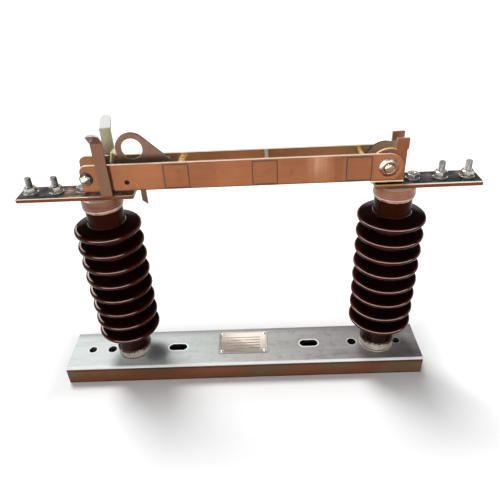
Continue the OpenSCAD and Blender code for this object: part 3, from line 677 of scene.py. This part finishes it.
class Shape:
    """Points and faces gathered from turned and lofted shells."""

    def __init__(self):
        self.points = []
        self.faces = []

    def shell(self, rings, at=IN_PLACE, ends=True):
        """Joins rings of equal count; ends closes the first and the last, else they are joined too."""
        first = len(self.points)
        count = len(rings[0])
        for ring in rings:
            self.points += [at @ Vector(point) for point in ring]
        spans = len(rings) - 1 if ends else len(rings)
        for row in range(spans):
            a = first + row * count
            b = first + (row + 1) % len(rings) * count
            for k in range(count):
                n = (k + 1) % count
                self.faces.append((a + k, a + n, b + n, b + k))
        if ends:
            self.faces.append(tuple(first + k for k in reversed(range(count))))
            self.faces.append(tuple(first + spans * count + k for k in range(count)))

    def turned(self, section, steps, at=IN_PLACE, ends=True):
        """A shell around Z; section has its (radius, height) points from below, or gives them at an angle."""
        angles = [TURN * k / steps for k in range(steps)]
        sections = [section(angle) if callable(section) else section for angle in angles]
        rings = []
        for row in zip(*sections):
            rings.append([(r * cos(a), r * sin(a), z) for (r, z), a in zip(row, angles)])
        self.shell(rings, at, ends)

    def mesh(self, name):
        made = bpy.data.meshes.new(name)
        made.from_pydata([tuple(p) for p in self.points], [], self.faces)
        return made


SMOOTH_ANGLE = 35


def add_piece(name, shape, body, material, replaced=None, smooth=SMOOTH_ANGLE):
    """Makes a piece of a shape or mesh, rides it on a body and gives it its finish."""
    mesh = shape.mesh(name) if isinstance(shape, Shape) else shape
    build = bmesh.new()
    build.from_mesh(mesh)
    bmesh.ops.recalc_face_normals(build, faces=build.faces)
    build.to_mesh(mesh)
    build.free()
    mesh.polygons.foreach_set("use_smooth", [True] * len(mesh.polygons))
    mesh.set_sharp_from_angle(angle=radians(smooth))
    mesh.materials.clear()
    mesh.materials.append(material)
    piece = bpy.data.objects.new(name, mesh)
    scene.collection.objects.link(piece)
    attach(piece, body)
    if replaced:
        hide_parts(replaced)
    return piece


def remake(node, ending, shape, smooth=SMOOTH_ANGLE):
    """Adds a piece in a node's place, on the node's body and with the finish of its slot."""
    return add_piece(node + ending, shape, NODES[node]["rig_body"], finish_of(node), node, smooth)


def spin(node, ending, section, steps, places, smooth=SMOOTH_ANGLE, ends=True):
    """Remakes a node as a section turned at each of the places."""
    shape = Shape()
    for place in places:
        shape.turned(section, steps, place, ends)
    remake(node, ending, shape, smooth)


# Angles in degrees: faces that count as one, edges to soften, smooth shading
FLAT_ANGLE, SHARP_ANGLE, SOFT_ANGLE = 0.6, 28, 50
WELD = 0.002 * MM


def soften(node, width):
    """A copy of a solid with its sharp edges broken by a small round."""
    build = bmesh.new()
    build.from_mesh(NODES[node].data)
    bmesh.ops.remove_doubles(build, verts=build.verts, dist=WELD)
    flat_angle = radians(FLAT_ANGLE)
    bmesh.ops.dissolve_limit(build, angle_limit=flat_angle, verts=build.verts, edges=build.edges)
    pairs = [edge for edge in build.edges if len(edge.link_faces) == 2]
    sharp = [edge for edge in pairs if edge.calc_face_angle() > radians(SHARP_ANGLE)]
    bmesh.ops.bevel(build, geom=sharp, offset=width, segments=2, profile=0.5, affect="EDGES",
                    clamp_overlap=True)
    mesh = bpy.data.meshes.new(node + "_finished")
    build.to_mesh(mesh)
    build.free()
    piece = remake(node, "_finished", mesh, SOFT_ANGLE)
    flat = piece.modifiers.new("flat_faces", "WEIGHTED_NORMAL")
    flat.keep_sharp = True


def arc(cx, cz, r, a0, a1, steps):
    """Points of an arc, its angles in degrees."""
    angles = [radians(a0 + (a1 - a0) * k / steps) for k in range(steps + 1)]
    return [(cx + r * cos(a), cz + r * sin(a)) for a in angles]


def dome_points(r, rise, angles, base=0.0):
    """Points of a dome, its angles in radians from the rim."""
    return [(r * cos(a), base + rise * sin(a)) for a in angles]


def middle_of(box, axis):
    return (box[0][axis] + box[1][axis]) / 2


def half_of(box, axis):
    return (box[1][axis] - box[0][axis]) / 2


def upright(x, y=0.0, z=0.0):
    return Matrix.Translation((x, y, z))


def along_y(x, y, z, towards):
    """Frame whose Z runs along plus or minus Y."""
    return Matrix.Translation((x, y, z)) @ Euler((radians(-90 * towards), 0, 0)).to_matrix().to_4x4()


# Fasteners

HEX_STEPS, WASHER_STEPS, DOME_STEPS, RIVET_STEPS = 60, 64, 72, 24
HEX_ANGLE, WASHER_SOFT = 30, 0.4 * MM
# Turned shapes close in a small flat of this radius at their axis
TIP_R = 0.3 * MM
# Radius where a hexagon's chamfer starts, as a share of its apothem
CHAMFER_SHARE = 0.97
THREAD_DEPTH_SHARE, THREAD_TIP_SHARE, ROWS_PER_TURN = 0.54, 0.2, 6
STUD_R, STUD_PITCH, NUT_BORE, STUD_WASHER_BORE = 6 * MM, 1.75 * MM, 5.3 * MM, 6.5 * MM
CAP_BOLT_APOTHEM, CAP_BOLT_HEAD, CAP_BOLT_WASHER, CAP_BOLT_DISH = 9.48 * MM, 7.68 * MM, 2.4 * MM, 0.7 * MM
CONTACT_APOTHEM, CONTACT_R, CONTACT_NUT, CONTACT_DOME = 7.9 * MM, 5 * MM, 8.4 * MM, 2.6 * MM
CONTACT_TIP, CONTACT_BORE, CONTACT_SOFT = 0.8 * MM, 5.1 * MM, 0.5 * MM
# Outer faces of the bars, by distance from the blade's middle plane
BLADE_FACE = 23.5 * MM


def hex_section(apothem, z0, z1, inner0, inner1, angle):
    """Section of a hexagon whose corners are chamfered at both ends."""
    half = radians(HEX_ANGLE)
    reach = apothem / cos((angle + half) % (2 * half) - half)
    flat = apothem * CHAMFER_SHARE
    drop = max(0.0, reach - flat) * tan(half)
    return [(inner0, z0), (flat, z0), (reach, z0 + drop), (reach, z1 - drop), (flat, z1), (inner1, z1)]


def thread_section(radius, z0, z1, pitch, angle):
    """Section of a thread that fades out at its tip."""
    depth = THREAD_DEPTH_SHARE * pitch
    rows = int((z1 - z0) / pitch * ROWS_PER_TURN)
    points = []
    for row in range(rows + 1):
        z = z0 + (z1 - z0) * row / rows
        wave = abs(((z / pitch - angle / TURN) % 1.0) * 2 - 1)
        top = min(radius, radius * (1 - THREAD_TIP_SHARE) + (z1 - z))
        points.append((min(radius - depth * (1 - wave), top), z))
    return points


def washer_section(r0, r1, z0, z1, soft):
    return [(r0, z0), (r1 - soft, z0), (r1, z0 + soft), (r1, z1 - soft), (r1 - soft, z1), (r0, z1)]


def terminal_of(end):
    """Two bolts through a terminal plate, their threads free above washers and nuts."""
    low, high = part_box(end + "_studs")
    plate, nut, washer = (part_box(end + name) for name in ("_plate", "_stud_nuts", "_stud_washers"))
    apothem = (high.y - low.y) / 2 * cos(radians(HEX_ANGLE))

    def stud_section(angle):
        head = hex_section(apothem, low.z, plate[0].z, TIP_R, STUD_R * 0.98, angle)
        thread = thread_section(STUD_R, nut[1].z - 2 * MM, high.z, STUD_PITCH, angle)
        return head + [(STUD_R * 0.9, plate[1].z)] + thread + [(TIP_R, high.z)]

    def nut_section(angle):
        return hex_section(apothem, nut[0].z, nut[1].z, NUT_BORE, NUT_BORE, angle)

    ring = washer_section(STUD_WASHER_BORE, half_of(washer, 1), washer[0].z, washer[1].z, WASHER_SOFT)
    places = [upright(low.x + apothem), upright(high.x - apothem)]
    spin(end + "_studs", "_threaded", stud_section, HEX_STEPS, places, 40)
    spin(end + "_stud_nuts", "_chamfered", nut_section, HEX_STEPS, places, 30, False)
    spin(end + "_stud_washers", "_rounded", ring, WASHER_STEPS, places, ends=False)


def cap_bolts_of(end, outward):
    """A plate's two bolts: the outer one on the plate, the inner one on the brackets."""
    node = end + "_cap_bolts"
    low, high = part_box(node)
    rim = (high.y - low.y) / 2
    outer_x = (high.x if outward > 0 else low.x) - outward * rim
    inner_x = (low.x if outward > 0 else high.x) + outward * rim
    outer_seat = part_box(end + "_plate")[1].z
    inner_seat = high.z - CAP_BOLT_HEAD - CAP_BOLT_WASHER
    shape = Shape()
    for x, seat in ((outer_x, outer_seat), (inner_x, inner_seat)):
        top = seat + CAP_BOLT_WASHER
        crown = top + CAP_BOLT_HEAD
        dish = crown - CAP_BOLT_DISH

        def section(angle):
            washer = washer_section(TIP_R, rim, seat, top, WASHER_SOFT)[:-1]
            head = hex_section(CAP_BOLT_APOTHEM, top, crown, rim, CAP_BOLT_APOTHEM * 0.55, angle)[1:]
            return washer + head + [(CAP_BOLT_APOTHEM * 0.5, dish), (TIP_R, dish)]

        shape.turned(section, HEX_STEPS, upright(x))
    remake(node, "_chamfered", shape, 30)


def on_bars(x, z):
    """Frames on the outer faces of both bars, looking outward."""
    return [along_y(x, side * BLADE_FACE, z, side) for side in (-1, 1)]


def contact_bolt():
    """Bolt through the blade's tip, its head in front and its nut behind, on washers."""
    low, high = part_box("contact_bolt")
    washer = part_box("contact_washers")
    x, z = middle_of(washer, 0), middle_of(washer, 2)
    front, back = -washer[0].y, washer[1].y
    crown = -low.y - CONTACT_DOME
    crown_r = CONTACT_APOTHEM * 0.9

    def section(angle):
        tip = [(TIP_R, -high.y), (CONTACT_R * 0.8, -high.y), (CONTACT_R * 0.9, -high.y + CONTACT_TIP)]
        nut = hex_section(CONTACT_APOTHEM, -back - CONTACT_NUT, -back, CONTACT_R * 0.9, CONTACT_R, angle)
        head = hex_section(CONTACT_APOTHEM, front, crown, CONTACT_R, crown_r, angle)
        dome = dome_points(crown_r, CONTACT_DOME, (0.3, 0.6, 0.9, 1.2), crown)
        return tip + nut + head + dome + [(TIP_R, -low.y)]

    spin("contact_bolt", "_chamfered", section, HEX_STEPS, [along_y(x, 0, z, -1)], 30)
    ring = washer_section(CONTACT_BORE, half_of(washer, 2), 0, front - BLADE_FACE, CONTACT_SOFT)
    spin("contact_washers", "_rounded", ring, WASHER_STEPS, on_bars(x, z), ends=False)


# Domed washers of the hinge, their crest, and the pin in them
DOME_BORE, DOME_EDGE, DOME_LIP, CREST_R, CREST_STEP = 7.1 * MM, 0.4 * MM, 0.5 * MM, 9.3 * MM, 0.6 * MM
PIN_R, BUTTON_GAP = 6.9 * MM, 0.9 * MM
DOME_ROWS = 10
BUTTON_ANGLES = (6, 14, 24, 36, 48, 60, 72, 84)


def hinge_buttons():
    """Domed washers and the rounded pin ends in them, in front and behind."""
    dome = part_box("hinge_domes")
    x, z = middle_of(dome, 0), middle_of(dome, 2)
    rim = half_of(dome, 2)
    rise = dome[1].y - BLADE_FACE
    ring = [(DOME_BORE, 0.0), (rim - DOME_EDGE, 0.0), (rim, DOME_LIP)]
    for k in range(1, DOME_ROWS + 1):
        share = k / DOME_ROWS
        height = DOME_LIP + (rise - DOME_LIP) * sin(TURN / 4 * share)
        ring.append((rim - (rim - CREST_R) * share, height))
    ring += [(CREST_R - CREST_STEP, rise - DOME_EDGE), (DOME_BORE, rise - DOME_EDGE)]
    spin("hinge_domes", "_pressed", ring, DOME_STEPS, on_bars(x, z), ends=False)
    button = CREST_R - BUTTON_GAP
    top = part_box("hinge_pin")[1].y
    base = BLADE_FACE + rise
    half = [(PIN_R, BLADE_FACE), (button, base - DOME_EDGE)]
    half += dome_points(button, top - base, [radians(a) for a in BUTTON_ANGLES], base)
    half += [(TIP_R, top)]
    pin = [(r, -y) for r, y in reversed(half)] + half
    spin("hinge_pin", "_domed", pin, WASHER_STEPS, [along_y(x, 0, z, 1)])


# Posts

SHED_RISE, SHED_FALL, RIM_R, ROOT_R = (v * MM for v in (9, 5.5, 4.8, 4))
NECK_LOW, NECK_HIGH, SHED_COUNT = 50 * MM, 39.5 * MM, 8
CORE = 32.5 * MM
POST_STEPS, CEMENT_STEPS, CAP_STEPS = 128, 120, 96
POST_TIP_R = 0.4 * MM
GLAZE_RUN = 0.35 * MM
CAP_LIP, CAP_GROOVE = 1.2 * MM, 0.5 * MM


def shed_outline(z, rim):
    """Section of one shed from below to above, its rim at height z."""
    lower = arc(CORE + ROOT_R, z - SHED_FALL - ROOT_R, ROOT_R, 180, 90, 6)
    under = (rim - RIM_R, z - RIM_R)
    edge = arc(rim - RIM_R, z, RIM_R, -86, 78, 16)
    upper = arc(CORE + ROOT_R, z + SHED_RISE + ROOT_R, ROOT_R, -90, -180, 6)
    return lower + [under] + edge + upper


def post_of(end):
    """One post: glazed body, cap, foot and ragged cement."""
    node = end + "_post_porcelain"
    low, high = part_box(node)
    x = (low.x + high.x) / 2
    rim = (high.x - low.x) / 2
    pitch = (high.z - low.z - NECK_LOW - NECK_HIGH) / (SHED_COUNT - 1)
    outline = [(POST_TIP_R, low.z), (CORE, low.z)]
    for k in range(SHED_COUNT):
        outline += shed_outline(low.z + NECK_LOW + k * pitch, rim)
    outline += [(CORE, high.z), (POST_TIP_R, high.z)]

    def glazed(angle):
        return [(r + glaze_run(x, angle, r, z), z) for r, z in outline]

    spin(node, "_glazed", glazed, POST_STEPS, [upright(x)], 60)
    cap_of(end, x)
    foot_of(end, x)
    cement_of(end, x)


def glaze_run(x, angle, r, z):
    """Small unevenness of a hand-dipped body, never beyond the solid's own reach."""
    spot = Vector((cos(angle) * 1.6 + x * 9, sin(angle) * 1.6, z * 55))
    return -abs(noise.noise(spot)) * GLAZE_RUN if r > MM else 0.0


def cap_of(end, x):
    """Turned cap with rounded edges and a shallow waist."""
    node = end + "_post_cap"
    low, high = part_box(node)
    rim = (high.y - low.y) / 2
    waist = rim - CAP_GROOVE
    outline = [(POST_TIP_R, low.z), (rim - CAP_LIP, low.z)]
    outline += arc(rim - CAP_LIP, low.z + CAP_LIP, CAP_LIP, -90, 0, 5)[1:]
    outline += [(rim, low.z + 5 * MM), (waist, low.z + 5.6 * MM)]
    outline += [(waist, high.z - 4.2 * MM), (rim, high.z - 3.6 * MM)]
    outline += arc(rim - CAP_LIP, high.z - CAP_LIP, CAP_LIP, 0, 90, 5) + [(POST_TIP_R, high.z)]
    spin(node, "_turned", outline, CAP_STEPS, [upright(x)])


def foot_of(end, x):
    """Cast foot: a thin lip on the web, a groove, and an uneven upper edge."""
    node = end + "_post_foot"
    low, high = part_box(node)
    rim = (high.y - low.y) / 2
    lip, waist, wall = rim - 1.8 * MM, rim - 3.0 * MM, rim - 1.2 * MM
    # Radius and height over the web of the lip and the groove
    lower = [(lip - 0.6 * MM, 0.0), (lip, 0.6), (lip, 1.9), (lip - 0.6 * MM, 2.5), (waist - 0.9 * MM, 2.9),
             (waist - 0.8 * MM, 3.5), (waist, 4.4)]

    def section(angle):
        wave = noise.noise(Vector((cos(angle) * 2 + x, sin(angle) * 2, 3.0)))
        top = high.z - (0.9 + 0.8 * wave) * MM
        upper = [(wall, top - 3.4 * MM), (wall - 0.4 * MM, top - 0.9 * MM), (wall - 1.4 * MM, top)]
        ends = [(CORE + 0.2 * MM, high.z), (POST_TIP_R, high.z)]
        return [(POST_TIP_R, low.z)] + [(r, low.z + rise * MM) for r, rise in lower] + upper + ends

    spin(node, "_cast", section, CAP_STEPS, [upright(x)])


def cement_of(end, x):
    """Ragged bead of cement under a cap."""
    node = end + "_post_cement"
    low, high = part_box(node)
    rim = (high.y - low.y) / 2

    def section(angle):
        spot = Vector((cos(angle) * 2.4, sin(angle) * 2.4, x * 20))
        sag = 0.5 + 0.5 * noise.noise(spot)
        bulge = 0.5 + 0.5 * noise.noise(spot * 2.3)
        z0 = low.z + (2.4 - 2.3 * sag) * MM
        belly = rim - 1.1 * MM * (1 - bulge)
        root = [(POST_TIP_R, low.z), (CORE - 0.1 * MM, low.z), (CORE + 0.2 * MM, z0)]
        bead = [(belly - 0.5 * MM, z0 + 0.6 * MM), (belly, z0 + 1.6 * MM)]
        lip = [(belly - 0.3 * MM, high.z - 0.9 * MM), (belly - 1.2 * MM, high.z)]
        return root + bead + lip + [(POST_TIP_R, high.z)]

    spin(node, "_bead", section, CEMENT_STEPS, [upright(x)], 60)


# Plates and labels

# Steps of the rating plate's section: inset, height and corner radius, in millimetres
PLATE_STEPS = ((0.0, 0.0, 4.0), (0.0, 0.4, 4.0), (0.4, 0.8, 3.6), (3.2, 0.8, 2.6), (4.0, 0.35, 2.2))
# Blank rules: places across the plate and half length, as shares of its half sizes
RULE_SHARES, RULE_LENGTH_SHARE = (0.44, 0.2, -0.04, -0.28, -0.52), 0.68
RULE_BASE, RULE_HALF, RULE_RISE, RULE_TOP_SHARE = 0.45 * MM, 1.0 * MM, 0.34 * MM, 0.3
RIVET_R, RIVET_RISE, RIVET_BASE, RIVET_INSET = 4.4 * MM, 2.6 * MM, 0.42 * MM, 7.5 * MM
RIVET_TIP_R = 0.2 * MM
SPACER_RIVET_R, SPACER_RIVET_RISE, SPACER_RIVET_DROP = 2.6 * MM, 1.5 * MM, 6 * MM
SPACER_RIVETS_X = (-130 * MM, -100 * MM)
LABEL_HALF, LABEL_LINE, LABEL_THICK, LABEL_DROP = 21 * MM, 1.6 * MM, 0.12 * MM, 0.4 * MM
LABELS_X = (-113.9 * MM, 31.3 * MM, 184.7 * MM)


def soft_ring(cx, cy, half_x, half_y, r, z, steps=6):
    """Ring of points round a rectangle with round corners."""
    points = []
    for sx, sy, start in ((1, 1, 0), (-1, 1, 90), (-1, -1, 180), (1, -1, 270)):
        corner = arc(cx + sx * (half_x - r), cy + sy * (half_y - r), r, start, start + 90, steps)
        points += [(x, y, z) for x, y in corner]
    return points


def rating_plate():
    """Bare plate with a raised border, blank ruled fields and four rivets."""
    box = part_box("rating_plate")
    base = box[0].z
    cx, cy = middle_of(box, 0), middle_of(box, 1)
    hx, hy = half_of(box, 0), half_of(box, 1)
    rings = []
    for inset, rise, r in PLATE_STEPS:
        rings.append(soft_ring(cx, cy, hx - inset * MM, hy - inset * MM, r * MM, base + rise * MM))
    shape = Shape()
    shape.shell(rings)
    remake("rating_plate", "_pressed", shape)
    rules = Shape()
    reach = hx * RULE_LENGTH_SHARE
    for share in RULE_SHARES:
        rules.shell(ridge(cx - reach, cx + reach, cy + hy * share, base + RULE_BASE))
    add_piece("rating_plate_rules", rules, "frame", RULE_METAL)
    dome = [(TIP_R, 0.0), (RIVET_R, 0.0)] + dome_points(RIVET_R, RIVET_RISE, (0.2, 0.5, 0.8, 1.1, 1.35))
    dome += [(RIVET_TIP_R, RIVET_RISE)]
    rivets = Shape()
    for sx in (-1, 1):
        for sy in (-1, 1):
            spot = upright(cx + sx * (hx - RIVET_INSET), cy + sy * (hy - RIVET_INSET), base + RIVET_BASE)
            rivets.turned(dome, RIVET_STEPS, spot)
    add_piece("rating_plate_rivets", rivets, "frame", FINISH["zinc_steel"])


def ridge(x0, x1, y, z):
    """Rings of a low raised rule along X."""
    top = RULE_HALF * RULE_TOP_SHARE
    profile = ((-RULE_HALF, 0.0), (RULE_HALF, 0.0), (top, RULE_RISE), (-top, RULE_RISE))
    return [[(x, y + dy, z + dz) for dy, dz in profile] for x in (x0, x1)]


def label_frames():
    """Three blank square label frames on the front bar's outer face."""
    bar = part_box("front_bar")
    z = middle_of(bar, 2) - LABEL_DROP
    back, front = bar[0].y, bar[0].y - LABEL_THICK
    inner = LABEL_HALF - LABEL_LINE
    corners = ((-1, -1), (1, -1), (1, 1), (-1, 1))
    shape = Shape()
    for x in LABELS_X:
        rings = []
        for reach, y in ((LABEL_HALF, back), (LABEL_HALF, front), (inner, front), (inner, back)):
            rings.append([(x + sx * reach, y, z + sz * reach) for sx, sz in corners])
        shape.shell(rings, ends=False)
    add_piece("label_frames", shape, "blade", LABEL_INK)


def spacer_rivets():
    """Two small gold rivets on the rear bar's inner face, beside the tail's spacer."""
    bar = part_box("rear_bar")
    dome = [(RIVET_TIP_R, 0.0), (SPACER_RIVET_R, 0.0)]
    dome += dome_points(SPACER_RIVET_R, SPACER_RIVET_RISE, (0.3, 0.6, 0.9, 1.2))
    dome += [(RIVET_TIP_R, SPACER_RIVET_RISE)]
    shape = Shape()
    for x in SPACER_RIVETS_X:
        shape.turned(dome, RIVET_STEPS, along_y(x, bar[0].y, bar[1].z - SPACER_RIVET_DROP, -1))
    add_piece("spacer_rivets", shape, "blade", FINISH["gold_zinc"])


# Stage, lights and camera

FLOOR_R, WALL_R, FLOOR_STEPS, FLOOR_HOLE_R = 8.4, 3.0, 96, 0.01
WHITE, FLOOR_PALE, FLOOR_SHADE = (1, 1, 1, 1), (0.93, 0.93, 0.93, 1), (0.06, 0.05, 0.05, 1)
# The floor's lift around the part and far from it
LIFT_AROUND, LIFT_FAR = 0.3, 0.5
# Brightness of the dome at its foot and crown, and of the window, with where the window lies
DOME_LOW, DOME_HIGH, WINDOW_LIGHT, WINDOW_AZIMUTH = 0.12, 0.2, 1.25, -35
# The sun, its azimuth 0 in front and 90 from the right
SUN_AZIMUTH, SUN_ELEVATION, SUN_STRENGTH, SUN_SOFTNESS = -150, 61, 2.2, 22
# The photograph's camera: yaw, pitch and roll in degrees, place, and lens on a sensor in millimetres
CAMERA_TURN, CAMERA_PLACE = (-1.61, 33.02, -2.98), (0.0215, -0.7752, 0.7829)
LENS, SENSOR = 35.91, 36


def stage_coat():
    """Pale floor with painted shade under the channel, lifted to near white around the part for rays that
    show it.
    """
    coat = Coat("stage_white", specular=0.0)
    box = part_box("base_channel")
    past_x = coat.minus(coat.size(coat.minus(coat.x, middle_of(box, 0))), half_of(box, 0))
    past = coat.most(past_x, coat.minus(coat.size(coat.y), box[1].y))
    around = coat.span((past, 0.0, 0.12), 0.0, LIFT_AROUND)
    far = coat.span((coat.reach(coat.x, coat.y), 1.2, 3.0), 0.0, LIFT_FAR)
    coat.set("Emission Color", WHITE)
    coat.set("Emission Strength", coat.times(coat.shown(), coat.plus(around, far)))
    # Painted shade on the floor under the channel
    under = coat.step(past, -0.004, -0.012)
    coat.colour = coat.mix(under, FLOOR_PALE, FLOOR_SHADE)
    return coat.done(under, 1.0, 1.0)


def make_stage():
    """Round floor that curves up into a low wall."""
    rows = [(FLOOR_HOLE_R, 0.0), (FLOOR_R, 0.0)]
    rows += arc(FLOOR_R, WALL_R, WALL_R, -90, 0, 9)[1:]
    shape = Shape()
    shape.turned(rows, FLOOR_STEPS, ends=False)
    # The shell's last span would join the wall's top to the middle
    shape.faces = [face for face in shape.faces if max(face) - min(face) < 3 * FLOOR_STEPS]
    mesh = shape.mesh("stage_floor")
    mesh.polygons.foreach_set("use_smooth", [True] * len(mesh.polygons))
    mesh.materials.append(stage_coat())
    floor = bpy.data.objects.new("stage_floor", mesh)
    scene.collection.objects.link(floor)


def make_world():
    """Dim dome with one broad soft window at the front left; its horizon is white to rays that show it."""
    world = bpy.data.worlds.new("studio")
    scene.world = world
    world.use_nodes = True
    sky = Nodes(world.node_tree)
    way = sky.tree.nodes.new("ShaderNodeTexCoord").outputs["Generated"]
    height = sky.split(way)[2]
    turn = radians(WINDOW_AZIMUTH)
    towards = sky.along(way, (sin(turn), -cos(turn), 0))
    window = sky.times(sky.band(height, 0.08, 0.2, 0.56, 0.68), (towards, 0.12, 0.34), WINDOW_LIGHT)
    glow = sky.plus(sky.span((height, 0.0, 1.0), DOME_LOW, DOME_HIGH), window)
    glow = sky.most(glow, sky.times(sky.shown(), (height, 0.36, 0.28)))
    background = sky.tree.nodes["Background"]
    background.inputs["Color"].default_value = WHITE
    sky.feed(background.inputs["Strength"], glow)


def make_sun():
    """Soft even lamp from behind on the left."""
    data = bpy.data.lights.new("key", "SUN")
    data.energy = SUN_STRENGTH
    data.angle = radians(SUN_SOFTNESS)
    lamp = bpy.data.objects.new("key", data)
    a, e = radians(SUN_AZIMUTH), radians(SUN_ELEVATION)
    source = Vector((sin(a) * cos(e), -cos(a) * cos(e), sin(e)))
    lamp.rotation_mode = "QUATERNION"
    lamp.rotation_quaternion = source.to_track_quat("Z", "Y")
    scene.collection.objects.link(lamp)


def make_camera():
    """Camera at the photograph's viewing angle."""
    yaw, pitch, roll = (radians(angle) for angle in CAMERA_TURN)
    ahead = Vector((sin(yaw) * cos(pitch), cos(yaw) * cos(pitch), -sin(pitch)))
    right = Vector((cos(yaw), -sin(yaw), 0))
    up = right.cross(ahead)
    across = cos(roll) * right + sin(roll) * up
    above = -sin(roll) * right + cos(roll) * up
    turn = Matrix((across, above, -ahead)).transposed()
    data = bpy.data.cameras.new("camera")
    data.sensor_fit = "HORIZONTAL"
    data.sensor_width = SENSOR
    data.lens = LENS
    camera = bpy.data.objects.new("camera", data)
    camera.matrix_world = Matrix.Translation(CAMERA_PLACE) @ turn.to_4x4()
    scene.collection.objects.link(camera)
    scene.camera = camera


make_camera()
make_stage()
make_world()
make_sun()

for end, outward in (("jaw", -1), ("hinge", 1)):
    post_of(end)
    terminal_of(end)
    cap_bolts_of(end, outward)
contact_bolt()
hinge_buttons()
rating_plate()
label_frames()
spacer_rivets()

# Width of the broken edge on each solid that keeps its own form, in millimetres
SOFT_EDGES = {
    "base_channel": 0.5, "jaw_plate": 1.4, "hinge_plate": 1.0, "guide_bracket": 0.5, "jaw_contact": 0.5,
    "hinge_bracket": 0.5, "front_bar": 0.6, "rear_bar": 0.6, "tie_plate": 0.4, "stop_bar": 0.3,
    "tail_spacer": 0.4, "latch_pin": 0.12, "latch_bushes": 0.3, "latch_lever": 0.5, "latch_spring": 0.25,
    "post_bolts": 0.4,
}
for name, width in SOFT_EDGES.items():
    soften(name, width * MM)

scene.view_settings.view_transform = "Standard"
